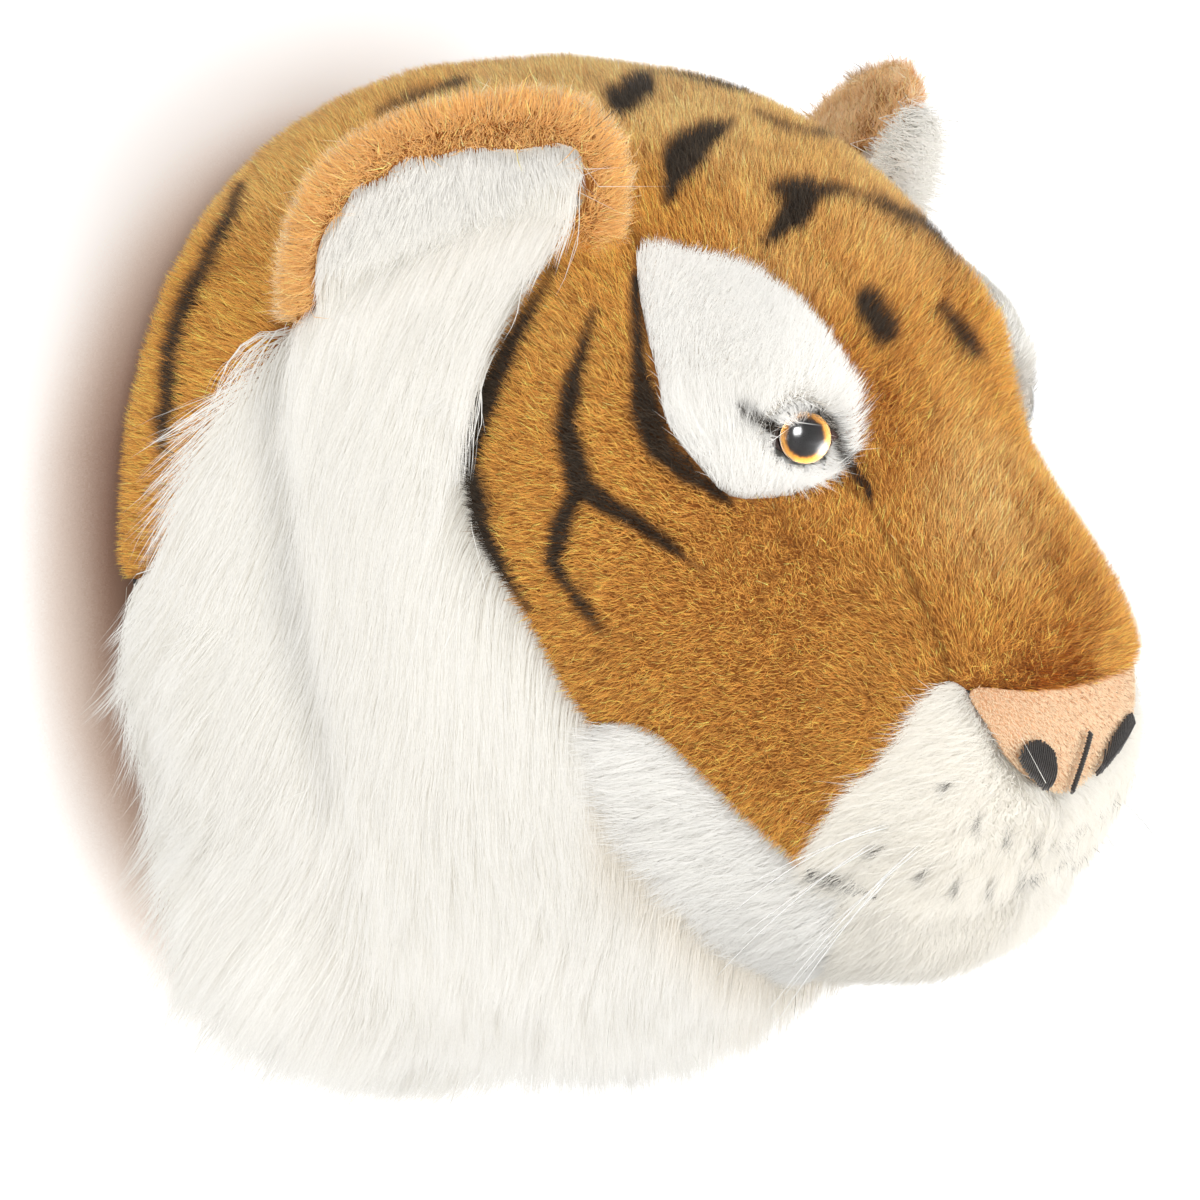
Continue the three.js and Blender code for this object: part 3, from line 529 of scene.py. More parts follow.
def scatter_on_head(density, luck):
    (i, j), u, v = scatter(TIPS, density, luck)
    place = PLACES[i] + u * (PLACES[1] - PLACES[0])
    turn = (j + v) * 2 * math.pi / COLUMNS
    return on_grid(TIPS, place, turn), unit(on_grid(OUTWARD, place, turn)), turn


def bent(root, outward, nap, height, luck, early, late):
    """Short strands that stand up from the cloth and bend over along the nap"""
    count = len(root)
    near = np.radians(early + luck.normal(0, 8, count))
    away = np.radians(late + luck.normal(0, 13, count))
    reach = height / (0.5 * (np.cos(near) + np.cos(away)))
    first = outward * column(np.cos(near)) + nap * column(np.sin(near))
    second = outward * column(np.cos(away)) + nap * column(np.sin(away))
    middle = root + first * column(reach / 2)
    return np.stack([root, middle, middle + second * column(reach / 2)], 1)


# Markings of the cover, airbrushed on the plush: strokes of the drawing as (x, y, half-width), in
# steps from its upper left corner
NEAR_MARKS = [
    [(635, 277, 4), (637, 353, 9), (643, 408, 15), (660, 447, 15), (691, 475, 11), (731, 503, 3)],
    [(594, 307, 2), (572, 374, 9), (564, 428, 13), (578, 485, 14)],
    [(585, 490, 12), (640, 525, 9), (698, 568, 2)],
    [(575, 490, 10), (560, 520, 10), (550, 560, 9), (575, 600, 7), (600, 632, 2)],
    [
        (555, 265, 3), (510, 340, 10), (480, 400, 14), (465, 455, 15), (475, 520, 13), (500, 575, 8),
        (528, 608, 2),
    ],
    [(618, 96, 15), (640, 84, 16)],
    [(240, 188, 5), (215, 236, 7), (187, 293, 9), (167, 349, 9), (161, 419, 8), (160, 452, 3)],
    [(378, 110, 3), (411, 96, 5), (456, 82, 4), (468, 78, 2)],
]
RIGHT_MARKS = [
    [(733, 119, 3), (700, 136, 17), (684, 150, 20), (672, 180, 10), (667, 200, 3)],
    [(778, 184, 8), (806, 190, 16), (795, 212, 15), (772, 234, 8), (762, 238, 3)],
    [(870, 300, 15), (886, 325, 16)],
]
CROSSING_MARKS = [
    [(757, 112, 2), (799, 128, 3), (843, 137, 3), (869, 155, 2)],
    [(822, 186, 8), (848, 187, 4), (887, 203, 5), (928, 225, 6), (963, 258, 2)],
    [(945, 305, 5), (962, 328, 9), (980, 350, 8), (988, 358, 3)],
]
EYE_LINES = [
    [(738, 408, 3), (752, 416, 5), (766, 424, 6), (778, 431, 6)],
    [
        (801, 420, 2), (810, 416, 4), (820, 413, 5), (830, 420, 5), (837, 433, 5),
        (840, 448, 5), (849, 463, 5), (858, 475, 5), (867, 486, 4), (870, 496, 3),
    ],
    [(808, 876, 1.5), (829, 881, 3), (850, 891, 1.5)],
]
WHISKER_DOTS = [
    (945, 787), (978, 825), (1008, 840), (1037, 850), (875, 852),
    (922, 876), (955, 889), (990, 891), (1022, 882),
]


def from_corner(x, y):
    return np.array((x - DRAWING_WIDTH / 2, DRAWING_WIDTH / 2 - y)) * DRAWING_STEP


def outside_strokes(drawn, strokes):
    """Distance of drawn points from the strokes, negative inside them"""
    nearest = np.full(len(drawn), 99.0)
    for stroke in strokes:
        for (xa, ya, wa), (xb, yb, wb) in zip(stroke, stroke[1:]):
            a, run = from_corner(xa, ya), from_corner(xb, yb) - from_corner(xa, ya)
            away = drawn - a
            share = np.clip(away @ run / (run @ run), 0, 1)
            half = DRAWING_STEP * (wa + share * (wb - wa))
            nearest = np.minimum(nearest, np.linalg.norm(away - share[:, None] * run, axis=1) - half)
    return nearest


def marked(points):
    """How dark the markings make the pile at points of the cover, 0 to 1"""
    mirrored, straight, right = as_drawn(to_right(points)), as_drawn(points), points[:, 0] < 0
    gap = np.minimum(outside_strokes(mirrored, NEAR_MARKS), outside_strokes(straight, CROSSING_MARKS))
    gap = np.where(right, np.minimum(gap, outside_strokes(mirrored, RIGHT_MARKS)), gap)
    gap = gap + drift(points, 3.0, 5) * 0.5
    return 1 - smoothstep(gap, -1.6, 1.9)


def lined(points):
    """How dark the eye lines make the pile, 0 to 1"""
    return 1 - smoothstep(outside_strokes(as_drawn(to_right(points)), EYE_LINES), -0.4, 0.6)


def dotted(points):
    """How dark the whisker dots make the pile, 0 to 1"""
    drawn = as_drawn(to_right(points))
    dots = np.min([np.linalg.norm(drawn - from_corner(x, y), axis=1) for x, y in WHISKER_DOTS], 0)
    return (1 - smoothstep(dots, 0.9, 1.7)) * 0.95


# Root tones are darker than tip tones: the fibres' own colour, with painted shade deep in the pile.
ORANGE_TIP, ORANGE_ROOT = shade(246, 173, 80), shade(162, 100, 40)
# The next pair, paler, is for pile that faces upward: painted light from above.
TOP_LIT_TIP, TOP_LIT_ROOT = shade(237, 195, 128), shade(198, 138, 76)
MARK_TIP, MARK_ROOT = shade(62, 52, 40), shade(34, 27, 22)
WHITE_TIP, WHITE_ROOT = shade(248, 246, 241), shade(238, 235, 227)
VELOUR_TIP, VELOUR_ROOT = shade(249, 225, 191), shade(238, 203, 165)
NOSE_TIP = np.array((0, -262, -48.0))


def graded(root, tip, levels):
    share = np.linspace(0, 1, levels)[None, :, None]
    return root[:, None] * (1 - share) + tip[:, None] * share


def varied(tones, luck, spread, glints):
    """Each strand a little lighter or darker than the next, and a few painted lighter as glints: a painted
    highlight
    """
    count = len(tones)
    gain = np.exp(luck.normal(0, spread, count)) * np.where(luck.random(count) < glints, 1.7, 1)
    return np.minimum(tones * gain[:, None, None], 0.98)


def even_tones(root, tip, count, levels, luck, spread=0.02):
    return varied(graded(np.tile(root, (count, 1)), np.tile(tip, (count, 1)), levels), luck, spread, 0)


# The cover's cloth: a knitted backing under the pile, one piece for each panel. It is drawn in a
# little along the seams, and each piece stands for its panel's CAD solid.
CLOTH_LIFT, CLOTH_THICKNESS, ROOT_LIFT = -6.0, 1.6, -5.8


def clipped(points, values, faces):
    """The part of a triangle mesh where its points' values are positive"""
    inside = values > 0
    count = inside[faces].sum(1)
    kept = [faces[count == 3]]
    edges = {}
    extra = []

    def crossing(a, b):
        key = (min(a, b), max(a, b))
        if key not in edges:
            share = values[key[0]] / (values[key[0]] - values[key[1]])
            edges[key] = len(points) + len(extra)
            extra.append(points[key[0]] * (1 - share) + points[key[1]] * share)
        return edges[key]

    cut = []
    for face in faces[(count == 1) | (count == 2)].tolist():
        single = inside[face].sum() == 1
        first = next(i for i in range(3) if inside[face[i]] == single)
        a, b, c = face[first], face[(first + 1) % 3], face[(first + 2) % 3]
        ab, ac = crossing(a, b), crossing(a, c)
        cut += [(a, ab, ac)] if single else [(ab, b, c), (ab, c, ac)]
    if cut:
        kept.append(np.array(cut))
    faces = np.concatenate(kept)
    points = np.concatenate([points, np.array(extra).reshape(-1, points.shape[1])])
    used, index = np.unique(faces, return_inverse=True)
    return points[used], index.reshape(faces.shape)


def thickened(points, inner, faces):
    """A closed shell between two layers of the same faces"""
    pairs = np.concatenate([faces[:, [0, 1]], faces[:, [1, 2]], faces[:, [2, 0]]])
    known = set(map(tuple, pairs.tolist()))
    rim = np.array([(a, b) for a, b in pairs.tolist() if (b, a) not in known])
    count = len(points)
    first, second = rim.T
    walls = np.stack([second, first, first + count], 1), np.stack([second, first + count, second + count], 1)
    return np.concatenate([points, inner]), np.concatenate([faces, faces[:, ::-1] + count, *walls])


def knitted(name, color, dyed=False):
    made, tree, shader = new_material(name, color, 0.9)
    place = add_node(tree, "ShaderNodeTexCoord").outputs["Object"]
    loops = add_node(tree, "ShaderNodeTexVoronoi", {"Vector": place, "Scale": 900}).outputs["Distance"]
    tone = tinted(tree, shader, loops, [(0, color * 1.05), (0.8, color * 0.75)])
    if dyed:
        dye = add_node(tree, "ShaderNodeAttribute", attribute_name="dye").outputs["Color"]
        tree.links.new(vector(tree, "MULTIPLY", tone, dye), shader.inputs["Base Color"])
    add_bump(tree, shader, loops, 0.0004)
    return made


ORANGE_CLOTH = knitted("orange backing", shade(170, 108, 50), True)
WHITE_CLOTH = knitted("white backing", shade(238, 232, 222))
VELOUR_CLOTH = knitted("velour backing", shade(240, 190, 146))

SHELL_STEP = 4
SHELL_ROWS = np.unique(np.append(np.arange(0, ROWS, SHELL_STEP), ROWS - 1))
SHELL_TIPS, SHELL_OUT = TIPS[SHELL_ROWS][:, ::SHELL_STEP], OUTWARD[SHELL_ROWS][:, ::SHELL_STEP]
SHELL_FACES = triangles(*ring_points(*SHELL_TIPS.shape[:2]))
EYE_PLACE = in_eye(SHELL_TIPS.reshape(-1, 3))
EYE_CLEAR = np.where(
    EYE_PLACE[:, 2] > -30, (np.hypot(EYE_PLACE[:, 0] / 9.4, EYE_PLACE[:, 1] / 7.2) - 1) * 8, 99
)


def dye_markings(made, points):
    left = 1 - 0.88 * column(np.maximum(marked(points), lined(points)))
    rgba = np.concatenate([np.repeat(left, 3, 1), np.ones((len(points), 1))], 1)
    dye = made.data.attributes.new("dye", "FLOAT_COLOR", "POINT")
    dye.data.foreach_set("color", rgba.astype(np.float32).ravel())


def make_cloth(panel, node, side):
    depth = GRID_DEPTHS[panel][SHELL_ROWS][:, ::SHELL_STEP].ravel()
    value = np.minimum(depth, EYE_CLEAR)
    if side:
        value = np.minimum(value, SHELL_TIPS.reshape(-1, 3)[:, 0] * side)
    lift = CLOTH_LIFT - 1.2 * np.exp(-((np.maximum(depth, 0) / 3) ** 2))
    if panel == "nose":
        lift = lift + 1.8
    tips, outward = SHELL_TIPS.reshape(-1, 3), SHELL_OUT.reshape(-1, 3)
    outer = tips + outward * column(lift)
    layers, faces = clipped(np.concatenate([outer, outer - outward * CLOTH_THICKNESS], 1), value, SHELL_FACES)
    points, faces = thickened(layers[:, :3], layers[:, 3:], faces)
    points[:, 1] = np.minimum(points[:, 1], -0.4)
    orange = panel in ORANGE_PANELS
    cloth = VELOUR_CLOTH if panel == "nose" else ORANGE_CLOTH if orange else WHITE_CLOTH
    slot = "velour" if panel == "nose" else "orange_plush" if orange else "white_plush"
    made = make_piece(node + "_cloth", points, faces, cloth, node, slot)
    if orange:
        dye_markings(made, points)


for panel, node in WHOLE.items():
    if panel in ("nose", "chin", "crown", "neck"):
        make_cloth(panel, node, 0)
    else:
        for side, suffix in SIDES.items():
            make_cloth(panel, node + suffix, side)


# Short plush of the face, crown and neck: 6 mm pile with its nap away from the nose. It stands
# lower along the seams and opens round the eyes.
def nap_away_from_nose(points, outward):
    return along_surface(unit(points - NOSE_TIP) * 0.7 + np.array((0, 0.5, 0.05)), outward)


def orange_tones(points, outward, middle, luck):
    count = len(points)
    # Pile that faces upward is painted paler, less so near the wall: painted light from above.
    pale = smoothstep(outward[:, 2] + 0.2 * drift(points, 22, 11), 0.3, 1.05) * 0.85
    pale *= 1 - 0.5 * smoothstep(points[:, 1], -80, -50)
    pale = column(np.clip(pale + luck.normal(0, 0.1, count), 0, 1))
    dark = column(np.maximum(marked(middle), lined(middle)))
    tip = (ORANGE_TIP * (1 - pale) + TOP_LIT_TIP * pale) * (1 - dark) + MARK_TIP * dark
    root = (ORANGE_ROOT * (1 - pale) + TOP_LIT_ROOT * pale) * (1 - dark) + MARK_ROOT * dark
    patch = 1 + 0.06 * drift(points, 9, 12) + 0.06 * drift(points, 3.0, 13) + 0.13 * drift(points, 0.5, 14)
    return varied(graded(root * column(patch), tip * column(patch), 3), luck, 0.38, 0.1)


def white_tones(paths, luck):
    levels = np.moveaxis(paths, 1, 0)
    dark = column(np.stack([np.maximum(lined(level), dotted(level)) for level in levels], 1))
    # Darker along the face's middle line: painted shade in the cleft.
    cleft_shade = 1 - 0.1 * np.exp(-((paths[..., :1] / 1.6) ** 2))
    white = graded(WHITE_TIP[None], WHITE_TIP[None] * 1.03, 3) * cleft_shade
    dye = graded(MARK_ROOT[None], MARK_TIP[None], 3)
    return varied(white * (1 - dark) + dye * dark, luck, 0.02, 0)


# The opening for the eye, in its frame
EYE_OPENING = smooth_loop([
    (-9.4, -0.6), (-7.6, 3.2), (-5.2, 5.4), (-2.0, 7.1), (2.0, 7.2), (5.0, 5.6), (7.2, 3.0),
    (7.4, -1.5), (6.6, -4.0), (3.4, -6.5), (-1.0, -7.1), (-5.4, -5.2), (-8.2, -3.2),
], 3)

# What the photograph shows of the eye, at the tips of the strands round it
SEEN_EYE = smooth_loop([from_corner(x, y) for x, y in (
    (772, 447), (775, 436), (780, 428), (789, 425.5), (799, 424.5), (804, 419), (813, 415.5), (823, 416.5),
    (829, 424), (832, 436), (835, 449), (834, 461), (826, 466), (809, 467), (797, 465), (787, 459), (777, 453),
)], 3)

# Panel: strands to a square millimetre, how far they lean at the root and at the tip in degrees, added height
SHORT_PILE = {
    "crown": (3.9, 10, 31, 0.0), "neck": (3.2, 12, 34, 0.0), "cheek": (5.0, 10, 29, 0.0),
    "eye_patch": (5.6, 24, 50, 0.5), "muzzle": (5.8, 32, 62, 0.4), "jaw": (4.2, 22, 52, 3.5),
    "chin": (4.2, 22, 52, 2.0),
}


def make_short_pile(panel, side, seed):
    density, early, late, added = SHORT_PILE[panel]
    luck = np.random.default_rng(seed)
    value = np.minimum(GRID_DEPTHS[panel], TIPS[..., 0] * side)
    tips, outward, _ = scatter_on_head(np.where(value > -1.0, density, 0.0), luck)
    depth = panel_depths(tips)[panel]
    eye = in_eye(tips)
    away_from_eye = np.where(np.abs(eye[:, 2]) < 25, -depth_inside(eye[:, :2], EYE_OPENING), 99)
    keep = (depth > 0) & (away_from_eye > 0) & (tips[:, 0] * side >= 0)
    tips, outward, depth = tips[keep], outward[keep], depth[keep]
    eye, away_from_eye = eye[keep], away_from_eye[keep]
    count, orange = len(tips), panel in ORANGE_PANELS
    drawn = as_drawn(to_right(tips))
    from_nose = -depth_in("nose", drawn)
    tufts = drifts(tips, 2.2, seed + 20)
    away = (np.stack([eye[:, 0], eye[:, 1], 0 * depth], -1) @ EYE_AXES) * flip_of(tips)
    near = column(1 - smoothstep(away_from_eye, 0.5, 7))
    nap = nap_away_from_nose(tips, outward)
    if panel == "eye_patch":
        brow = DRAWING_RIGHT * 0.35 + DRAWING_UP * 0.9
        nap = along_surface(brow * flip_of(tips), outward)
    elif panel in ("muzzle", "chin"):
        nap = along_surface(np.sign(tips[:, :1]) * (0.5, 0, 0) + np.array((0, 0.8, -0.45)), outward)
    aim = unit(eye[:, :2])
    lid = smoothstep(aim @ (-0.5, 0.87), 0.0, 0.6) + 0.5 * smoothstep(aim @ (-0.6, -0.8), 0.2, 0.8)
    inward = lid * np.exp(-((np.maximum(away_from_eye, 0) / 2.2) ** 2))
    nap = along_surface(nap * (1 - near) + unit(away) * near * column(1 - 2 * inward), outward)
    loose = 1.0 if orange else 0.55
    stray = (tufts * 0.22 + luck.normal(0, 0.42, (count, 3))) * loose
    nap = along_surface(nap + drifts(tips, 13, 21) * 0.25 + stray, outward)
    if panel == "eye_patch":
        level = smoothstep(eye[:, 1], -18, -9) * (1 - smoothstep(eye[:, 1], 2, 15))
        added = added + 3.4 * level * smoothstep(away_from_eye, 1, 6) + 2.6 * inward
        added -= 2.4 * smoothstep(eye[:, 1], 8, 22)
    full = 1 - 0.28 * loose * (1 - smoothstep(depth, 0, 4)) * smoothstep(from_nose, 1, 6)
    height = (added - ROOT_LIFT) * (1 + luck.normal(0, 0.09, count)) * full
    height *= 1 + 0.05 * tufts[:, 0] + 0.04 * drift(tips, 6, 24)
    root = tips + outward * column(ROOT_LIFT - 1.0 * np.exp(-((depth / 3) ** 2)))
    upright = 1 - 0.85 * (1 - smoothstep(away_from_eye, 0, 3)) * (1 - inward)
    upright *= 0.35 + 0.65 * smoothstep(from_nose, 0, 4)
    early = early * upright * (1 - 0.6 * inward)
    paths = bent(root, outward, nap, np.maximum(height, 1.5), luck, early, late * upright)
    by_eye = np.flatnonzero(away_from_eye < 14)
    rim = luck.uniform(-0.1, 1.1, len(by_eye))
    for _ in range(5):
        over = by_eye[depth_inside(as_drawn(to_right(paths[by_eye, -1])), SEEN_EYE) > rim]
        paths[over] = root[over, None] + (paths[over] - root[over, None]) * 0.78
    paths[..., 1] = np.minimum(paths[..., 1], -0.5)
    middle = paths[:, 1:].mean(1)
    if orange:
        tones, material, slot = orange_tones(tips, outward, middle, luck), ORANGE_PILE, "orange_plush"
    else:
        tones, material, slot = white_tones(paths, luck), WHITE_PILE, "white_plush"
    if panel in ("muzzle", "chin"):
        tones = tones * (0.97, 0.95, 0.91)
    # Orange pile is painted darker along its seams, and the jaw's pile near the ruff: painted shade in the
    # seams and under the jaw roll.
    seam_shade = 0.42 * smoothstep(from_nose, 2, 6) * np.exp(-((depth / 0.9) ** 2)) if orange else 0 * depth
    if panel == "jaw":
        seam_shade = 0.14 * np.exp(-((depth / 3) ** 2)) * (depth_in("ruff", drawn) > -9)
    tones = tones * (1 - seam_shade)[:, None, None]
    width = luck.uniform(0.14, 0.27, count) * (1 + 0.7 * inward)
    name = WHOLE[panel] + "_pile" + SIDES[side]
    node = WHOLE[panel] + ("" if panel in ("crown", "neck", "chin") else SIDES[side])
    rounding, lay = (0.3, 0.75) if orange else (0.15, 0.93)
    make_strands(name, paths, outward, width, tones, material, node, luck, rounding, lay)


for order, panel in enumerate(SHORT_PILE):
    for side in SIDES:
        make_short_pile(panel, side, 100 + 50 * order + (side > 0))


# Velour of the nose: dense upright pile of 1.3 mm.
def make_velour():
    luck = np.random.default_rng(41)
    tips, outward, _ = scatter_on_head(np.where(GRID_DEPTHS["nose"] > -0.5, 4.5, 0.0), luck)
    keep = panel_depths(tips)["nose"] > 0
    tips, outward = tips[keep], outward[keep]
    count = len(tips)
    nap = along_surface(np.array((0, 0, -1.0)) + luck.normal(0, 0.5, (count, 3)), outward)
    paths = bent(tips + outward * -4.3, outward, nap, luck.normal(1.3, 0.12, count), luck, 15, 40)
    tones = even_tones(VELOUR_ROOT, VELOUR_TIP, count, 3, luck, 0.05)
    width = luck.uniform(0.25, 0.4, count)
    make_strands("nose_panel_pile", paths, outward, width, tones, VELOUR_PILE, "nose_panel", luck)


make_velour()


# Long pile of the ruff: 35 to 60 mm, combed down, and behind the parting down and back to the wall.
# It hangs in soft locks, free of the head below it.
RUFF_DENSITY = 1.55


def parting_out(points):
    return 76 - 0.2 * np.clip(points[..., 2], -50, 70)


def ruff_lift(points, turn):
    out = -points[:, 1]
    side = -4 + 11 * smoothstep(out, 0, 82)
    lowness = smoothstep(-np.cos(turn), 0.0, 0.95)
    low = 6 + 15 * smoothstep(out, 0, 75)
    start = 1 - smoothstep(out, 136, 174)
    side = side + 7 * smoothstep(np.cos(turn), 0.2, 0.5) * smoothstep(out, 25, 60)
    dip = 6 * np.exp(-(((out - parting_out(points)) / 7) ** 2)) * (1 - lowness)
    return (side + (low - side) * lowness) * start - dip * start


def lock_together(paths, roots, luck, per_lock, strength):
    """Strands draw towards the leader nearest to them, more so at their tips"""
    count, levels = paths.shape[:2]
    leaders = luck.choice(count, max(count // per_lock, 4), replace=False)
    tree = KDTree(len(leaders))
    for i, leader in enumerate(leaders):
        tree.insert(roots[leader], i)
    tree.balance()
    mine = leaders[np.array([tree.find(p)[1] for p in roots])]
    share = np.linspace(0, 1, levels)[None, :, None]
    pull = strength * share**1.3 * luck.uniform(0.3, 1.0, (count, 1, 1))
    target = paths[mine] + (paths[:, :1] - paths[mine][:, :1]) * 0.35
    return paths * (1 - pull) + target * pull


def long_strands(root, outward, heading, length, full, stand, luck, settle=0.0, levels=6):
    """Strands that stand from the cloth as far as stand says, then settle and hang clear of the head"""
    count = len(root)
    wall = luck.uniform(0.8, 5.0, count)
    point, paths, facing = root, [root], [outward]
    for step in range(1, levels):
        share = step / (levels - 1)
        settled = smoothstep(share, 0, 0.5)
        direction = unit(outward * (1 - settled) * column(stand) + heading * (0.35 + 0.65 * settled))
        point = point + direction * column(length / (levels - 1))
        height, _, turn, below = over_head(point)
        wanted = ROOT_LIFT + (ruff_lift(point, turn) * full - ROOT_LIFT) * (1 - math.exp(-3.2 * share))
        laid = settle * smoothstep(point[:, 2], -104, -72)
        point = point + below * column(np.where(wanted > height, 1, laid) * (wanted - height))
        point[:, 1] = np.minimum(point[:, 1], -wall)
        paths.append(point)
        facing.append(unit(below * 0.7 + outward * 0.3))
    paths, facing = np.stack(paths, 1), np.stack(facing, 1)
    hair = unit(np.gradient(paths, axis=1))
    return paths, unit(facing - 0.8 * (facing * hair).sum(-1, keepdims=True) * hair)


def make_ruff(panel, side, seed):
    luck = np.random.default_rng(seed)
    value = np.minimum(GRID_DEPTHS[panel], TIPS[..., 0] * side)
    tips, outward, turn = scatter_on_head(np.where(value > -1.0, RUFF_DENSITY, 0.0), luck)
    keep = (panel_depths(tips)[panel] > 0) & (tips[:, 0] * side >= 0)
    tips, outward, turn = tips[keep], outward[keep], turn[keep]
    count = len(tips)
    out = -tips[:, 1]
    rear = smoothstep(parting_out(tips) + 6 * drift(tips, 12, 31) - out, -6, 6)
    heading = np.array((0, 0.10, -1.0)) * column(1 - rear) + np.array((0, 0.56, -0.83)) * column(rear)
    wave = np.stack([drift(tips, 16, 32), drift(tips, 16, 33), 0 * out], -1) * 0.16
    loose = column(0.05 + 0.05 * rear + 0.25 * (luck.random(count) < 0.03))
    corner = rear * smoothstep(tips[:, 2], 42, 66)
    wisps = outward * column(0.3 * np.maximum(drift(tips, 5, 34), 0) * rear + 0.7 * corner)
    heading = unit(heading + wave + wisps + luck.normal(0, 1, (count, 3)) * (loose + column(0.3 * corner)))
    lowness = smoothstep(-np.cos(turn), -0.1, 0.9)
    length = 34 + 12 * rear - 4 * lowness + luck.normal(0, 4.5, count)
    length *= (1 - 0.3 * smoothstep(out, 140, 172)) * (1 - 0.42 * corner)
    length += 9 * rear * smoothstep(-tips[:, 2], 78, 96)
    full = luck.uniform(0.3, 1.0, count) ** 0.6
    stand = 0.25 + 0.6 * np.maximum.reduce([smoothstep(out, 20, 90), lowness, smoothstep(tips[:, 2], 40, 70)])
    settle = 0.62 * rear * (1 - corner)
    root = tips + outward * ROOT_LIFT
    paths, facing = long_strands(root, outward, heading, length, full, stand, luck, settle)
    paths = lock_together(paths, tips, luck, 30, 0.8)
    share = np.linspace(0, 1, paths.shape[1])[None, :, None]
    flare = np.maximum(drift(tips, 1.8, 36), 0) * rear * (1 - smoothstep(out, 45, 70)) * 10
    paths += outward[:, None] * flare[:, None, None] * share**2.4
    curl = np.sin(share * luck.uniform(2, 7, (count, 1, 1)) + luck.uniform(0, 6.3, (count, 1, 1)))
    paths += np.cross(facing, heading[:, None]) * curl * share * luck.uniform(0.2, 1.8, (count, 1, 1))
    paths[..., 1] = np.minimum(paths[..., 1], -0.8)
    wide = np.abs(paths[..., 0])
    paths[..., 0] *= 1 - 0.75 * np.maximum(wide - 126, 0) / wide
    paths[..., 2] += 0.6 * np.maximum(-paths[..., 2] - 162, 0)
    tones = even_tones(WHITE_ROOT, WHITE_TIP, count, paths.shape[1], luck)
    tones = np.minimum(tones * (0.985 + 0.03 * rear)[:, None, None], 0.98)
    # Darker across the parting: painted shade in the fold.
    valley = column(3 - paths[..., 1] - parting_out(paths))
    fold_shade = np.exp(-((valley / 6) ** 2)) * smoothstep(paths[..., 2:], -85, -20)
    tones = tones * (1 - 0.11 * fold_shade)
    # Warmer and darker just below the jaw roll, more at the roots: painted shadow under the jaw.
    from_jaw = np.minimum(depth_in("jaw", as_drawn(to_right(tips))), 0)
    jaw_shadow = np.exp(-((from_jaw / 6) ** 2)) * smoothstep(-tips[:, 2], 35, 50)
    tones = tones * (1 - np.array((0.1, 0.15, 0.22)) * jaw_shadow[:, None, None] * (1 - 0.7 * share))
    under = full < np.quantile(full, 0.38)
    for layer, some, thin, thick in (("_underpile", under, 0.26, 0.44), ("_pile", ~under, 0.12, 0.26)):
        width = luck.uniform(thin, thick, some.sum())
        make_strands(
            panel + layer + SIDES[side], paths[some], facing[some], width, tones[some], WHITE_PILE,
            panel + SIDES[side], luck, 0.2, 0.93,
        )


for order, panel in enumerate(("ruff_front", "ruff_rear")):
    for side in SIDES:
        make_ruff(panel, side, 600 + 2 * order + (side > 0))


# Ears: two layers of plush sewn to a cup with a rounded rim, 11 mm thick. The back and the rim are
# orange, with paler tips along the edge, and the lining in front is white.
EAR_ROOT, EAR_TURN = np.array((-112, -71, 0.0)), math.radians(-54.8)
EAR_ALONG = np.array((math.cos(EAR_TURN), math.sin(EAR_TURN), 0))
EAR_FRONT = np.cross(EAR_ALONG, (0, 0, 1))
EAR_MIDDLE = np.array((48.0, 84.0))
EAR_RIM = [
    (1, 58), (-2, 86), (3, 103), (15, 118), (30, 127), (49, 132),
    (68, 134), (82, 130), (90, 119), (92, 108), (88, 88),
]
EAR_ROOTS = [(76, 62), (48, 50), (18, 50)]
LINING_EDGE = smooth_loop([
    (8, 44), (9, 72), (9, 86), (12, 95), (17, 101), (20, 106), (27, 109), (33, 114), (42, 115),
    (49, 117), (63, 116), (72, 118), (78, 116), (79, 110), (74, 104), (66, 84), (62, 50),
], 4)
EAR_SIDES, EAR_FLAT, EAR_HALF, EAR_PILE = 240, 0.8, 5.5, 4.4
EAR_TIP, EAR_BASE = shade(246, 190, 112), shade(224, 164, 96)
EAR_EDGE_TIP, EAR_EDGE_BASE = shade(253, 240, 212), shade(248, 212, 158)


def even_loop(corners, count):
    curve = smooth_loop(corners, 24)
    closed = np.vstack([curve, curve[:1]])
    length = np.append(0, np.cumsum(np.linalg.norm(np.diff(closed, axis=0), axis=1)))
    at = np.arange(count) / count * length[-1]
    return np.stack([np.interp(at, length, closed[:, k]) for k in range(2)], -1)


def ear_grid():
    """Points of the ear's pile tips, from the middle of its back over the rim to the middle of its front"""
    edge = even_loop(EAR_RIM + EAR_ROOTS, EAR_SIDES)
    flat = np.linspace(0.04, EAR_FLAT, 40)
    bend = np.linspace(0, math.pi, 34)[1:-1]
    hollow = 1 - (flat / EAR_FLAT) ** 2
    shares = np.concatenate([flat, EAR_FLAT + (1 - EAR_FLAT) * np.sin(bend), flat[::-1]])
    depths = np.concatenate([-EAR_HALF - 9 * hollow, -EAR_HALF * np.cos(bend), (EAR_HALF - 7 * hollow)[::-1]])
    across = EAR_MIDDLE + shares[:, None, None] * (edge - EAR_MIDDLE)
    lean = 3 + (across[..., 1] - EAR_MIDDLE[1]) * math.tan(math.radians(17))
    points = EAR_ROOT + across[..., :1] * EAR_ALONG + column(depths[:, None] + lean) * EAR_FRONT
    points[..., 2] += across[..., 1]
    front = np.arange(len(shares)) >= len(shares) / 2
    return points, across, np.repeat(front[:, None], EAR_SIDES, 1)


EAR_TIPS, EAR_ACROSS, EAR_IS_FRONT = ear_grid()
EAR_OUT = unit(np.cross(np.gradient(EAR_TIPS, axis=0), np.roll(EAR_TIPS, -1, 1) - np.roll(EAR_TIPS, 1, 1)))
EAR_OUT *= np.sign((EAR_OUT[-8] * EAR_FRONT).sum(-1).mean())


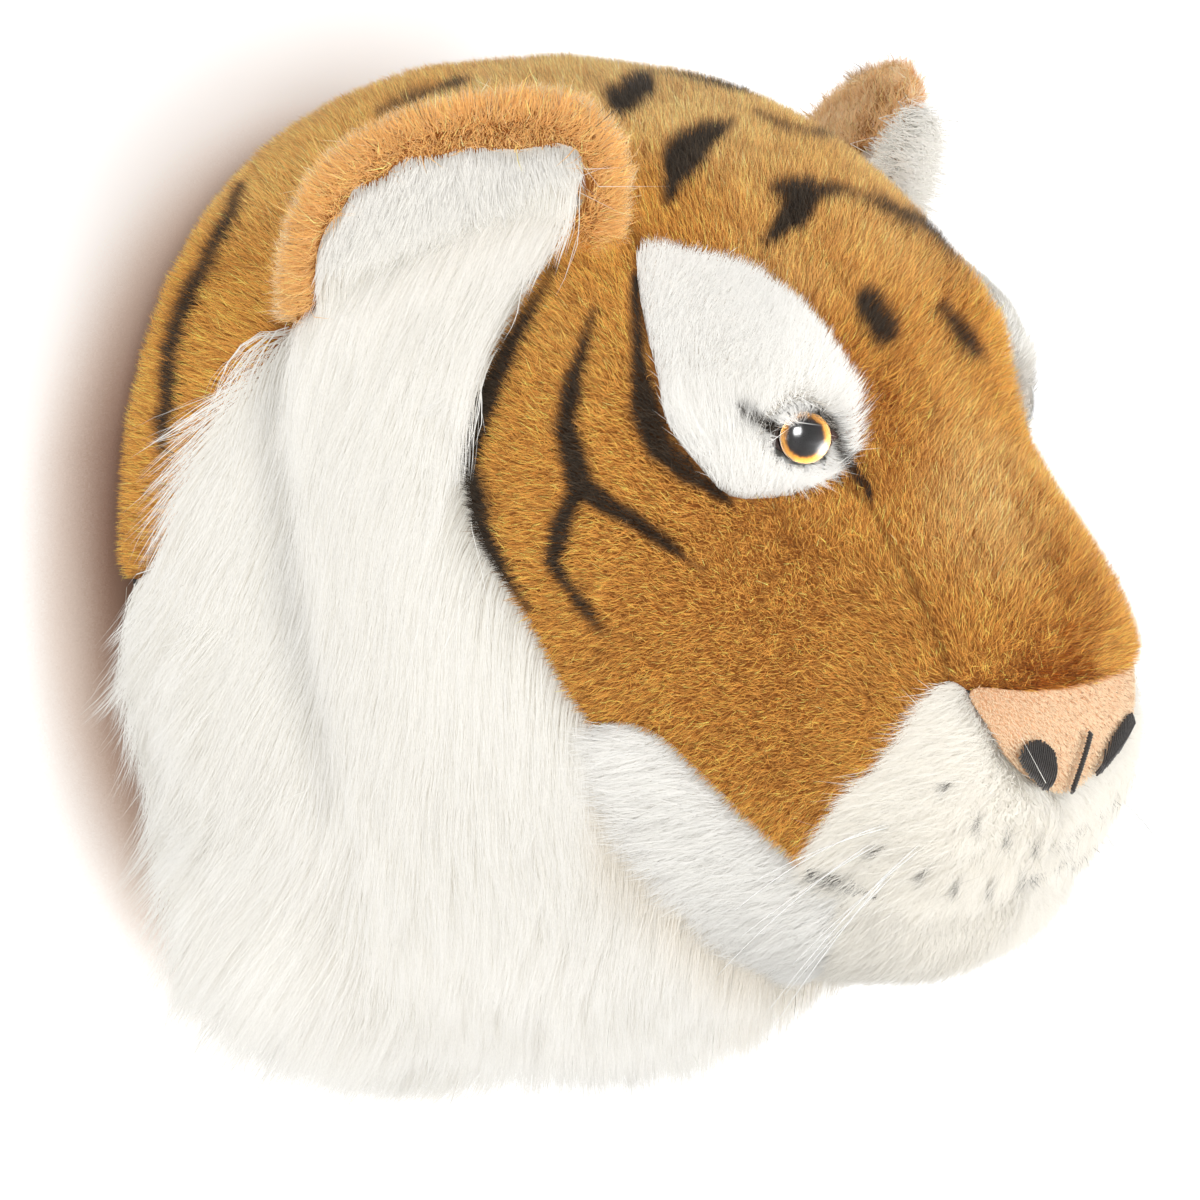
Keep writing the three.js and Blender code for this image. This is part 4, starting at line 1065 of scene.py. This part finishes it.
def ear_cloth(front):
    inside = depth_inside(EAR_ACROSS.reshape(-1, 2), LINING_EDGE).reshape(EAR_IS_FRONT.shape)
    white = np.where(EAR_IS_FRONT, inside, -5.0)
    points = (EAR_TIPS - EAR_OUT * EAR_PILE)[:, ::2]
    value = white[:, ::2].ravel() * (1 if front else -1)
    if not front:
        value = np.minimum(value, -depth_in("ruff", as_drawn(points.reshape(-1, 3))))
    faces = triangles(*ring_points(*points.shape[:2]))[:, [0, 2, 1]]
    inner = (EAR_TIPS - EAR_OUT * (EAR_PILE + 0.8))[:, ::2]
    layers, faces = clipped(np.concatenate([points.reshape(-1, 3), inner.reshape(-1, 3)], 1), value, faces)
    return thickened(layers[:, :3], layers[:, 3:], faces)


def make_ear(side, suffix):
    flip = np.array((-side, 1, 1))
    layers = (
        (False, "ear_back", ORANGE_CLOTH, "orange_plush"),
        (True, "ear_lining", WHITE_CLOTH, "white_plush"),
    )
    for front, node, cloth, slot in layers:
        points, faces = ear_cloth(front)
        points, faces = points * flip, faces[:, ::-side]
        made = make_piece(node + suffix + "_cloth", points, faces, cloth, node + suffix, slot)
        if not front:
            dye_markings(made, points)

    luck = np.random.default_rng(300 + (side > 0))
    (i, j), u, v = scatter(EAR_TIPS, np.full(EAR_IS_FRONT.shape, 4.2), luck)
    spot = (i, j, (j + 1) % EAR_SIDES, u[:, None], v[:, None])
    tips, outward, across = blended(EAR_TIPS, *spot), unit(blended(EAR_OUT, *spot)), blended(EAR_ACROSS, *spot)
    inside = depth_inside(across, LINING_EDGE)
    tail = (across[:, 1] < 65 + 1.5 * drift(tips, 5, 315)) & (across[:, 0] < 30)
    fluff = (across[:, 0] > 82 + 0.3 * (across[:, 1] - 110)) if side > 0 else np.zeros(len(tips), bool)
    white = (EAR_IS_FRONT[i, j] & (inside > 0)) | tail | fluff
    ruffed = (depth_in("ruff", as_drawn(tips)) > 0) | tail
    clear_of_head = over_head(tips - outward * EAR_PILE)[0] > -6
    keep = clear_of_head & ~(ruffed & ~white) & ~(ruffed & (luck.random(len(tips)) < 0.6))
    tips, outward, across, inside = tips[keep], outward[keep], across[keep], inside[keep]
    white, ruffed, fluff = white[keep], ruffed[keep], fluff[keep]
    count = len(tips)
    radial = across - np.array((50, 70.0))
    radial = unit(radial[:, :1] * EAR_ALONG + radial[:, 1:] * np.array((0, 0, 1)))
    tufts = drifts(tips, 2.4, 311)
    nap = along_surface(radial + EAR_FRONT * -0.25 + tufts * 0.3 + luck.normal(0, 0.3, (count, 3)), outward)
    edge = np.exp(-((np.abs((outward * EAR_FRONT).sum(-1)) / 0.45) ** 2))
    height = (EAR_PILE + 1.2 * edge) * (1 + luck.normal(0, 0.1, count)) * (1 + 0.08 * tufts[:, 0])
    root = tips - outward * EAR_PILE
    orange = np.flatnonzero(~white)
    paths = bent(root[orange], outward[orange], nap[orange], height[orange], luck, 30, 60)
    behind = -(outward[orange] * EAR_FRONT).sum(-1)
    pale = smoothstep(behind, -0.8, 0.1) * (0.9 - 0.6 * smoothstep(behind, 0.4, 0.9))
    pale = column(np.clip(pale + luck.normal(0, 0.12, len(orange)), 0, 1))
    tip = EAR_TIP * (1 - pale) + EAR_EDGE_TIP * pale
    low = EAR_BASE * (1 - pale) + EAR_EDGE_BASE * pale
    dark = column(marked(paths[:, 1:].mean(1)))
    low, tip = low * (1 - dark) + MARK_ROOT * dark, tip * (1 - dark) + MARK_TIP * dark
    tones = varied(graded(low, tip, 3), luck, 0.15, 0.05)
    width = luck.uniform(0.18, 0.32, len(orange))
    make_strands(
        "ear_back_pile" + suffix, paths * flip, outward[orange] * flip, width, tones, ORANGE_PILE,
        "ear_back" + suffix, luck, 0.3, 0.75,
    )

    # The lining's pile is short above its fold. Below it hangs down into the ruff.
    short, hanging = np.flatnonzero(white & ~ruffed), np.flatnonzero(white & ruffed)
    longer = (5 if side < 0 else 16) * smoothstep(inside[short], 1, 12)
    long = EAR_PILE * luck.uniform(1.0, 1.35, len(short)) + longer
    loose = (np.linalg.norm(across[short] - (77, 108), axis=1) < 7) & (luck.random(len(short)) < 0.1)
    long += 6 * fluff[short] + 9 * loose
    ahead = EAR_ALONG * 1.2 + EAR_FRONT * 0.6 + np.array((0, 0, -0.2)) + luck.normal(0, 0.3, (len(short), 3))
    free = fluff[short] | loose
    hang = np.where(column(free), ahead, nap[short] * 0.4 + np.array((0, 0, -1.0)))
    hang = along_surface(hang, outward[short])
    paths = bent(root[short], outward[short], hang, long, luck, 22, 62)
    tones = even_tones(WHITE_ROOT, WHITE_TIP, len(short), 3, luck)
    width = luck.uniform(0.18, 0.3, len(short))
    make_strands(
        "ear_lining_pile" + suffix, paths * flip, outward[short] * flip, width, tones, WHITE_PILE,
        "ear_lining" + suffix, luck, 0.15, 0.93,
    )
    some = len(hanging)
    heading = unit(np.array((0, 0.12, -1.0)) + luck.normal(0, 0.07, (some, 3)))
    length, full = luck.normal(30, 4, some), luck.uniform(0.3, 1, some)
    stand = np.full(some, 0.5)
    paths, facing = long_strands(root[hanging], outward[hanging], heading, length, full, stand, luck)
    paths = lock_together(paths, root[hanging], luck, 40, 0.6)
    tones = even_tones(WHITE_ROOT, WHITE_TIP, some, paths.shape[1], luck)
    make_strands(
        "ear_lining_fringe" + suffix, paths * flip, facing * flip, luck.uniform(0.16, 0.34, some), tones,
        WHITE_PILE, "ear_lining" + suffix, luck, 0.2, 0.93,
    )


for side, suffix in SIDES.items():
    make_ear(side, suffix)


# Filling: polyester fibre, pushed in firmly by hand, so its surface is a little lumpy.
def make_filling():
    rows = PLACES[TIPS[:, 0, 1] < -14.4][::6]
    place, turn = np.meshgrid(np.append(rows, 1), TURNS[::6], indexing="ij")
    spots = place.ravel(), turn.ravel()
    tips, outward = on_grid(TIPS, *spots), unit(on_grid(OUTWARD, *spots))
    eye = in_eye(tips)
    hole = 5 * np.exp(-((eye**2).sum(-1) / 13**2))
    lift = -9.6 - hole + 0.7 * drift(tips, 7, 51) - 0.5
    points = tips + outward * column(lift)
    points[:, 1] = np.minimum(points[:, 1], -14.3)
    here, after = ring_points(*place.shape)
    sides, back, nose = place.shape[1], len(points), len(points) + 1
    points = np.vstack([points, points[:sides].mean(0), points[-sides:].mean(0)])
    back_cap = np.stack([np.full(sides, back), after[0], here[0]], 1)
    nose_cap = np.stack([np.full(sides, nose), here[-1], after[-1]], 1)
    faces = np.concatenate([triangles(here, after), back_cap, nose_cap])
    fibre, _, _ = grained(
        "polyester fibre", (246, 246, 243), 0.95, (260, 6), (226, 226, 222), (250, 250, 248), relief=0.0015
    )
    made = make_piece("filling", points, faces, fibre, "fibre_filling", "fibre")


make_filling()


# Safety eyes: a clear dome over a printed disc, black pupil in an amber ring, on a shank that goes
# through an oval backing of dark brown plastic.
def lathed(profile, sides=96):
    angle = np.arange(sides) * 2 * math.pi / sides
    rings = [np.stack([r * np.cos(angle), r * np.sin(angle), np.full(sides, z)], -1) for r, z in profile]
    return np.concatenate(rings), quads(*ring_points(len(profile), sides))


def place_in_eye(name, points, faces, material, node, slot, side):
    world = (points @ EYE_AXES + EYE_AT) * (-side, 1, 1)
    made = make_piece(name + SIDES[side], world, faces[:, ::-side], material, node + SIDES[side], slot)
    face_uv = made.data.uv_layers.new(name="OFBake")
    index = np.zeros(len(made.data.loops), np.int32)
    made.data.loops.foreach_get("vertex_index", index)
    face_uv.data.foreach_set("uv", (points[index][:, :2] / 24 + 0.5).astype(np.float32).ravel())
    return made


def iris_material():
    made, tree, shader = new_material("iris", roughness=0.5, Specular_IOR_Level=0.04)
    uv = add_node(tree, "ShaderNodeUVMap", uv_map="OFBake").outputs["UV"]
    centred = vector(tree, "ADD", uv, (-0.5, -0.5, 0))
    radius, spread = vector(tree, "LENGTH", centred), vector(tree, "NORMALIZE", centred)
    streaks = add_node(tree, "ShaderNodeTexNoise", {"Vector": spread, "Scale": 9, "Detail": 4}).outputs["Fac"]
    ring = color_ramp(tree, number(tree, "ADD", radius, mapped(tree, streaks, -0.012, 0.012, 0.3, 0.7)), [
        (0.0, (0.003, 0.003, 0.003)), (0.3, shade(20, 13, 10)), (0.177, (0.004, 0.003, 0.003)),
        (0.19, shade(120, 72, 22)), (0.212, shade(208, 142, 50)), (0.25, shade(206, 152, 84)),
        (0.268, shade(130, 86, 44)), (0.282, shade(34, 20, 12)),
    ])
    # The ring is painted brighter towards one side and down, darker on the other: painted light.
    glow = number(tree, "ADD", vector(tree, "DOT_PRODUCT", centred, (0.8, -1.0, 0)), 0.24)
    lit = vector(tree, "MULTIPLY", ring, number(tree, "MAXIMUM", glow, 0.15))
    tree.links.new(lit, shader.inputs["Base Color"])
    return made


CLEAR, clear_tree, clear_shader = new_material(
    "clear dome", (1, 1, 1), 0.02, Transmission_Weight=1.0, IOR=1.36, Specular_Tint=(0, 0, 0, 1),
    Coat_Weight=1.0, Coat_IOR=1.25, Coat_Roughness=0.17,
)
clear_rough = mapped(clear_tree, grain(clear_tree, 240, 3), 0.0, 0.006)
clear_tree.links.new(clear_rough, clear_shader.inputs["Roughness"])
to_light = add_node(clear_tree, "ShaderNodeLightPath").outputs["Is Shadow Ray"]
see_through = add_node(clear_tree, "ShaderNodeBsdfTransparent")
both_ways = {0: to_light, 1: clear_shader.outputs[0], 2: see_through.outputs[0]}
clear_mix = add_node(clear_tree, "ShaderNodeMixShader", both_ways)
clear_tree.links.new(clear_mix.outputs[0], clear_tree.nodes["Material Output"].inputs["Surface"])

IRIS = iris_material()
BACKING, _, _ = grained(
    "brown plastic", (52, 28, 20), 0.32, (300, 3), (40, 20, 14), (70, 38, 26), (0.3, 0.75), Coat_Weight=0.3
)
WASHER_WHITE, _, _ = grained("white plastic", (233, 231, 226), 0.5, (500, 3), (222, 220, 214), (238, 236, 232))
DOMES = bpy.data.collections.new("eye domes")


def make_eye(side):
    bow = [(7 * math.cos(t), -1.8 + 4.4 * math.sin(t)) for t in np.linspace(0, math.pi / 2, 25)[:-1]]
    dome = [(0.02, -2.0), (6.7, -2.0), *bow, (0.02, 2.6)]
    DOMES.objects.link(place_in_eye("eye_dome_clear", *lathed(dome), CLEAR, "eye_dome", "clear", side))
    disc = [
        (0.02, -18.7), (1.4, -18.7), (2, -18.1), (2, -4.0), (2.2, -3.7),
        (6.8, -3.7), (7, -3.5), (7, -2.5), (6.85, -2.3),
        *[(r, -2.3) for r in np.linspace(6.5, 0.5, 13)], (0.02, -2.3),
    ]
    place_in_eye("eye_iris_disc", *lathed(disc), IRIS, "eye_iris", "amber", side)

    # Almond plate with rounded edges
    half = np.linspace(-10, 10, 49)
    height = 6 * (1 - (half / 10) ** 2)
    rim = np.concatenate([np.stack([half, height], -1), np.stack([half[::-1], -height[::-1]], -1)[1:-1]])
    hole, edge = unit(rim) * 2.35, ((0.94, -5.4), (0.985, -5.15), (1.0, -4.7), (0.985, -4.25), (0.93, -4.02))
    rings = [(hole, -5.4), *[(rim * shrink, z) for shrink, z in edge], (hole, -4.0)]
    points = np.concatenate([np.concatenate([ring, np.full((len(rim), 1), z)], 1) for ring, z in rings])
    here, after = ring_points(len(rings), len(rim))
    close = np.stack([here[-1], here[0], after[0], after[-1]], -1)
    faces = np.concatenate([quads(here, after)[:, [0, 3, 2, 1]], close])
    place_in_eye("eye_backing_plate", points, faces, BACKING, "eye_backing", "brown_plastic", side)


for side, suffix in SIDES.items():
    make_eye(side)
    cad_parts["eye_washer" + suffix].data.materials[0] = WASHER_WHITE


# Stitches and whiskers lie on the cover, at places of the drawing.
COARSE = TIPS[::2, ::2]
SURFACE = BVHTree.FromPolygons(COARSE.reshape(-1, 3).tolist(), quads(*ring_points(*COARSE.shape[:2])).tolist())


def seen_at(right, up, lift=0.0):
    """The point of the cover seen at a place of the drawing, and where the cover faces there"""
    target = DRAWING_CENTRE + DRAWING_RIGHT * right + DRAWING_UP * up
    hit, _, _, _ = SURFACE.ray_cast(Vector(DRAWING_EYE), Vector(target - DRAWING_EYE).normalized())
    point = np.array([hit])
    outward = unit(on_grid(OUTWARD, *over_head(point)[1:3]))
    return (point + outward * lift)[0], outward[0]


def tube(path, radius, sides=8):
    """Points and faces of a closed round cord along a path, with a radius for each of its points"""
    path = np.asarray(path, float)
    radius = np.broadcast_to(radius, len(path))
    heading = unit(np.gradient(path, axis=0))
    across = unit(np.cross(heading, np.where(np.abs(heading[:, 2:]) > 0.9, (1.0, 0, 0), (0, 0, 1.0))))
    other = np.cross(heading, across)
    angle = np.arange(sides) * 2 * math.pi / sides
    around = across[:, None] * column(np.cos(angle)) + other[:, None] * column(np.sin(angle))
    rings = path[:, None] + around * radius[:, None, None]
    here, after = ring_points(len(path), sides)
    return rings.reshape(-1, 3), [*quads(here, after).tolist(), here[0][::-1].tolist(), here[-1].tolist()]


def joined(parts):
    points, faces, start = [], [], 0
    for some, those in parts:
        points.append(some)
        faces += [[start + i for i in face] for face in those]
        start += len(some)
    return np.concatenate(points), faces


THREAD, thread_tree, thread_shader = grained(
    "black thread", (34, 30, 28), 0.45, (2500, 2), (24, 21, 20), (66, 60, 56), (0.3, 0.75), Sheen_Weight=0.3
)
add_bump(thread_tree, thread_shader, grain(thread_tree, 3000, 2), 0.0001)
NOSTRIL = [(123.4, -46), (126, -42.6), (130.4, -42.2), (134, -46), (134.2, -51), (132, -56), (127, -52)]
MOUTH_STITCH = [(60, -79.5), (66, -80.5), (73, -84), (80, -87.5), (73, -86), (66, -83.5), (61, -82.5)]


def stitched_area(outline, way, spacing, lift, jag, luck):
    """Satin stitches side by side that fill an outline of the drawing, and pass its edge by up to jag"""
    loop = smooth_loop(outline, 6)
    way = np.array(way) / math.hypot(*way)
    across = np.array((-way[1], way[0]))
    forward, aside = loop @ way, loop @ across
    parts = []
    for at in np.arange(aside.min() + spacing / 2, aside.max(), spacing):
        crossings = []
        for k in range(len(loop)):
            a, b = aside[k] - at, aside[k - 1] - at
            if a * b < 0:
                crossings.append(forward[k] + (forward[k - 1] - forward[k]) * a / (a - b))
        if len(crossings) < 2:
            continue
        low, high = min(crossings) - luck.uniform(0, jag), max(crossings) + luck.uniform(0, jag)
        stops = np.linspace(low, high, 7)
        swell = np.sin(np.linspace(0.12, math.pi - 0.12, 7))
        points = [seen_at(*(way * s + across * at), lift - 0.7 + 0.9 * h)[0] for s, h in zip(stops, swell)]
        parts.append(tube(points, 0.34, 6))
    return joined(parts)


luck = np.random.default_rng(61)
nostril = stitched_area(NOSTRIL, (0.25, 1), 0.62, -2.0, 0.7, luck)
make_pair("nostril_stitches", *nostril, THREAD, "nostril", "thread")
mouth = stitched_area(MOUTH_STITCH, (0.3, 1), 0.7, -1.4, 1.2, luck)
make_pair("mouth_stitches", *mouth, THREAD, "mouth_corner", "thread")


def on_middle(height, lift):
    """The point of the cover's middle line at a height, below the nose's tip"""
    line = TIPS[TIPS[:, COLUMNS // 2, 1] < -225, COLUMNS // 2]
    at = np.interp(height, line[:, 2], -line[:, 1])
    return np.array((0, -at - lift, height))


line_parts = []
for k, height in enumerate(np.linspace(-39.0, -55.0, 22)):
    sway = 0.12 if k % 2 else -0.12
    start = on_middle(height + 0.9, -2.3) + (sway - 0.5, 0, 0)
    end = on_middle(height - 0.9, -2.3) + (sway + 0.5, 0, 0)
    line_parts.append(tube([start, on_middle(height, -1.5), end], 0.5, 6))
make_piece("nose_line_stitches", *joined(line_parts), THREAD, "nose_line", "thread")

# Whiskers: nylon filaments that taper and sag a little, one or two from each root
NYLON, _, _ = grained(
    "nylon", (250, 250, 248), 0.3, (400, 2), (238, 238, 234), (252, 252, 250), Transmission_Weight=0.15
)
WHISKERS = [
    ((84, -66), (-60, 8, -14), -6), ((80, -71), (-56, 12, -28), -5), ((94, -72), (-56, 10, -36), -5),
    ((86, -79), (-46, 10, -40), -4),
]
for order, (root, reach, sag) in enumerate(WHISKERS, 1):
    parts = []
    for second in (0, 1):
        start, outward = seen_at(*(np.array(root) + second * np.array((1.2, -0.9))), -3.0)
        tip = start + np.array(reach) * (1 - 0.16 * second) + np.array((0, 2, 5.0)) * second
        bend = (start + tip) / 2 - np.array((0, 0, sag * (1 - 0.5 * second)))
        t = np.linspace(0, 1, 22)[:, None]
        path = start * (1 - t) ** 2 + 2 * bend * t * (1 - t) + tip * t**2
        parts.append(tube(path, 0.19 * (1 - 0.7 * t[:, 0] ** 1.5)))
    make_pair(f"whisker_hair_{order}", *joined(parts), NYLON, f"whisker_{order}", "nylon")


# The back: dark felt glued over the board, with a window for the hanger. The board, strap, screws and
# ring keep their CAD shapes.
def make_back_cover():
    rings, count = 30, 240
    place = np.interp(0.8, SECTIONS[:, 0], np.arange(LAST + 1) / LAST)
    rim = head_point(np.full(count, place), np.arange(count) * 2 * math.pi / count, -8.5)[:, [0, 2]]
    middle = np.array((0, 65.9))
    half, corner = np.array((17.2, 31.1)), 6.0
    outer_angle = np.arctan2(rim[:, 1] - middle[1], rim[:, 0] - middle[0])
    ray = np.stack([np.cos(outer_angle), np.sin(outer_angle)], -1)
    reach = np.min(half / np.maximum(np.abs(ray), 1e-6), 1)
    for _ in range(12):  # to the rounded corner
        spot = np.abs(ray * reach[:, None])
        past = np.maximum(spot - (half - corner), 0)
        out = np.hypot(past[:, 0], past[:, 1])
        both = (past > 0).all(1)
        reach = np.where(both & (out > corner), reach - (out - corner), reach)
    hole = middle + ray * reach[:, None]
    share = np.linspace(0, 1, rings)[:, None, None]
    flat = hole * (1 - share) + rim * share
    level = np.concatenate([flat, flat[..., :1] * 0], -1).reshape(-1, 3)
    ripple = 0.12 * drift(level, 14, 71).reshape(rings, count)
    down = np.where((np.arange(rings) == 0) | (np.arange(rings) == rings - 1), 0.45, 0.0)[:, None]
    front = np.stack([flat[..., 0], -0.45 - ripple - down, flat[..., 1]], -1)
    rear = front - (0, 0.9, 0)
    rear[..., 1] += 2 * down
    here, after = ring_points(rings, count)
    sheet, total = quads(here, after)[:, [0, 3, 2, 1]], rings * count
    outer_edge = np.stack([here[-1], here[-1] + total, after[-1] + total, after[-1]], -1)
    inner_edge = np.stack([here[0] + total, here[0], after[0], after[0] + total], -1)
    points = np.concatenate([front.reshape(-1, 3), rear.reshape(-1, 3)])
    faces = np.concatenate([sheet, sheet[:, ::-1] + total, outer_edge, inner_edge])
    felt, _, _ = grained(
        "felt", (47, 44, 42), 0.95, (900, 6), (34, 31, 30), (66, 62, 60), (0.3, 0.72), 0.0005,
        Sheen_Weight=0.4, Sheen_Roughness=0.6,
    )
    made = make_piece("back_cover_felt", points, faces, felt, "back_cover", "felt")
    area = 0.5 * abs(np.sum(rim[:, 0] * np.roll(rim[:, 1], -1) - np.roll(rim[:, 0], -1) * rim[:, 1]))
    area -= 4 * half[0] * half[1] - (4 - math.pi) * corner**2


make_back_cover()

WOOD, _, _ = grained(
    "board", (176, 138, 94), 0.75, (30, 6, (1, 1, 14)), (158, 118, 76), (196, 160, 116), relief=0.0004
)
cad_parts["back_board"].data.materials[0] = WOOD
STEEL, steel_tree, steel_shader = grained(
    "zinc-plated steel", (196, 198, 202), 0.3, (120, 3), (176, 178, 184), (214, 214, 212), Metallic=1.0
)
brushed = grain(steel_tree, 700, 4)
steel_tree.links.new(mapped(steel_tree, brushed, 0.18, 0.42), steel_shader.inputs["Roughness"])
add_bump(steel_tree, steel_shader, brushed, 0.00006, 0.3)
for name in ("hanger_strap", "hanger_ring", "hanger_screw_1", "hanger_screw_2"):
    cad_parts[name].data.materials[0] = STEEL


# Camera, light and a white wall with a pale floor far below. The wall and the white surroundings show
# to the camera only and put no light on the head.
scene = bpy.context.scene
scene.view_settings.view_transform = "Standard"
camera_data = bpy.data.cameras.new("camera")
camera_data.sensor_width = 36
camera_data.lens = camera_data.sensor_width * DRAWING_DISTANCE / (DRAWING_WIDTH * DRAWING_STEP)
camera = bpy.data.objects.new("camera", camera_data)
scene.collection.objects.link(camera)
camera_axes = Matrix(np.array([DRAWING_RIGHT, DRAWING_UP, DRAWING_BACK]).T.tolist()).to_4x4()
camera.matrix_world = Matrix.Translation(DRAWING_EYE * MM) @ camera_axes
camera_data.clip_start, camera_data.clip_end = 0.05, 50
scene.camera = camera


def softbox(name, across, power, at, catch=False):
    """A round soft light. A catch light shows in the eye domes alone, and the others mirror nowhere"""
    data = bpy.data.lights.new(name, "AREA")
    data.shape, data.size, data.energy = "DISK", across, power
    lamp = bpy.data.objects.new(name, data)
    scene.collection.objects.link(lamp)
    lamp.location = at
    lamp.rotation_mode = "QUATERNION"
    lamp.rotation_quaternion = (Vector((0, -0.1, 0)) - Vector(at)).to_track_quat("-Z", "Y")
    lamp.visible_glossy = catch
    if catch:
        lamp.light_linking.receiver_collection = DOMES
    lamp.visible_diffuse = lamp.visible_transmission = not catch


EYE_POINT = Vector(DRAWING_EYE * MM)
side_way, up_way = Vector(DRAWING_RIGHT), Vector((0, 0, 1))
over_camera = EYE_POINT - side_way * 0.25 + up_way * 0.4
softbox("catch", 0.7, 170, over_camera, True)
softbox("front", 0.35, 4.5, over_camera)
softbox("side", 1.0, 5.0, EYE_POINT + side_way * 1.3 + up_way * 0.2)
softbox("right", 1.0, 15, (0.95, -1.8, -0.2))
softbox("left", 1.4, 3.5, EYE_POINT - side_way * 1.4 + up_way * 0.2)
softbox("low", 1.2, 2.2, EYE_POINT * 0.9 - up_way * 1.0)

world = bpy.data.worlds.new("studio")
scene.world = world
world.use_nodes = True
sky = world.node_tree
rays = add_node(sky, "ShaderNodeLightPath").outputs
room = sky.nodes["Background"]
room.inputs["Color"].default_value = (1, 1, 1, 1)
room.inputs["Strength"].default_value = 0.8
mirrored = number(sky, "MAXIMUM", rays["Is Glossy Ray"], rays["Is Transmission Ray"])
in_view = number(sky, "MAXIMUM", rays["Is Camera Ray"], mirrored)
white_room = add_node(sky, "ShaderNodeBackground", {"Color": (1, 1, 1, 1), "Strength": 1.0})
sky_mix = add_node(sky, "ShaderNodeMixShader", {0: in_view, 1: room.outputs[0], 2: white_room.outputs[0]})
sky.links.new(sky_mix.outputs[0], sky.nodes["World Output"].inputs["Surface"])


CONTACT_SHADE = [
    (0.5, shade(118, 92, 78)), (1.0, (1, 1, 1)), (0.66, shade(178, 152, 136)), (0.77, shade(222, 206, 194)),
    (0.86, shade(250, 247, 244)),
]


def stage_plane(name, corners):
    mesh = bpy.data.meshes.new(name)
    mesh.from_pydata(corners, [], [(0, 1, 2, 3)])
    made_of = bpy.data.materials.new(name)
    made_of.use_nodes = True
    tree = made_of.node_tree
    tree.nodes.remove(tree.nodes["Principled BSDF"])
    path, side = add_node(tree, "ShaderNodeLightPath"), add_node(tree, "ShaderNodeNewGeometry")
    front = number(tree, "SUBTRACT", 1.0, side.outputs["Backfacing"])
    seen = number(tree, "MULTIPLY", path.outputs["Is Camera Ray"], front)
    # The wall's paint darkens near the head by ambient occlusion, less so higher up: painted contact shade.
    near = add_node(
        tree, "ShaderNodeAmbientOcclusion", {"Distance": 0.058, "Normal": (0.15, -0.9, 0.4)}, samples=8
    )
    place = add_node(tree, "ShaderNodeSeparateXYZ", {0: side.outputs["Position"]})
    high = mapped(tree, place.outputs["Z"], 0.0, 0.66, 0.03, 0.125)
    shaded = color_ramp(tree, mapped(tree, high, near.outputs["AO"], 1.0), CONTACT_SHADE, "B_SPLINE")
    tint = vector(tree, "MULTIPLY", shaded, (0.76, 0.78, 0.8))
    lift = vector(tree, "MULTIPLY", shaded, (0.42, 0.4, 0.38))
    paint = add_node(tree, "ShaderNodeBsdfDiffuse", {"Color": tint})
    glow = add_node(tree, "ShaderNodeEmission", {"Color": lift, "Strength": 1.0})
    lit = add_node(tree, "ShaderNodeAddShader", {0: paint.outputs[0], 1: glow.outputs[0]})
    clear = add_node(tree, "ShaderNodeBsdfTransparent")
    mix = add_node(tree, "ShaderNodeMixShader", {0: seen, 1: clear.outputs[0], 2: lit.outputs[0]})
    tree.links.new(mix.outputs[0], tree.nodes["Material Output"].inputs["Surface"])
    mesh.materials.append(made_of)
    made = bpy.data.objects.new(name, mesh)
    scene.collection.objects.link(made)


stage_plane("wall", [(-4, 0.001, -1.2), (4, 0.001, -1.2), (4, 0.001, 3), (-4, 0.001, 3)])
stage_plane("floor", [(-4, 0.001, -1.2), (-4, -4, -1.2), (4, -4, -1.2), (4, 0.001, -1.2)])
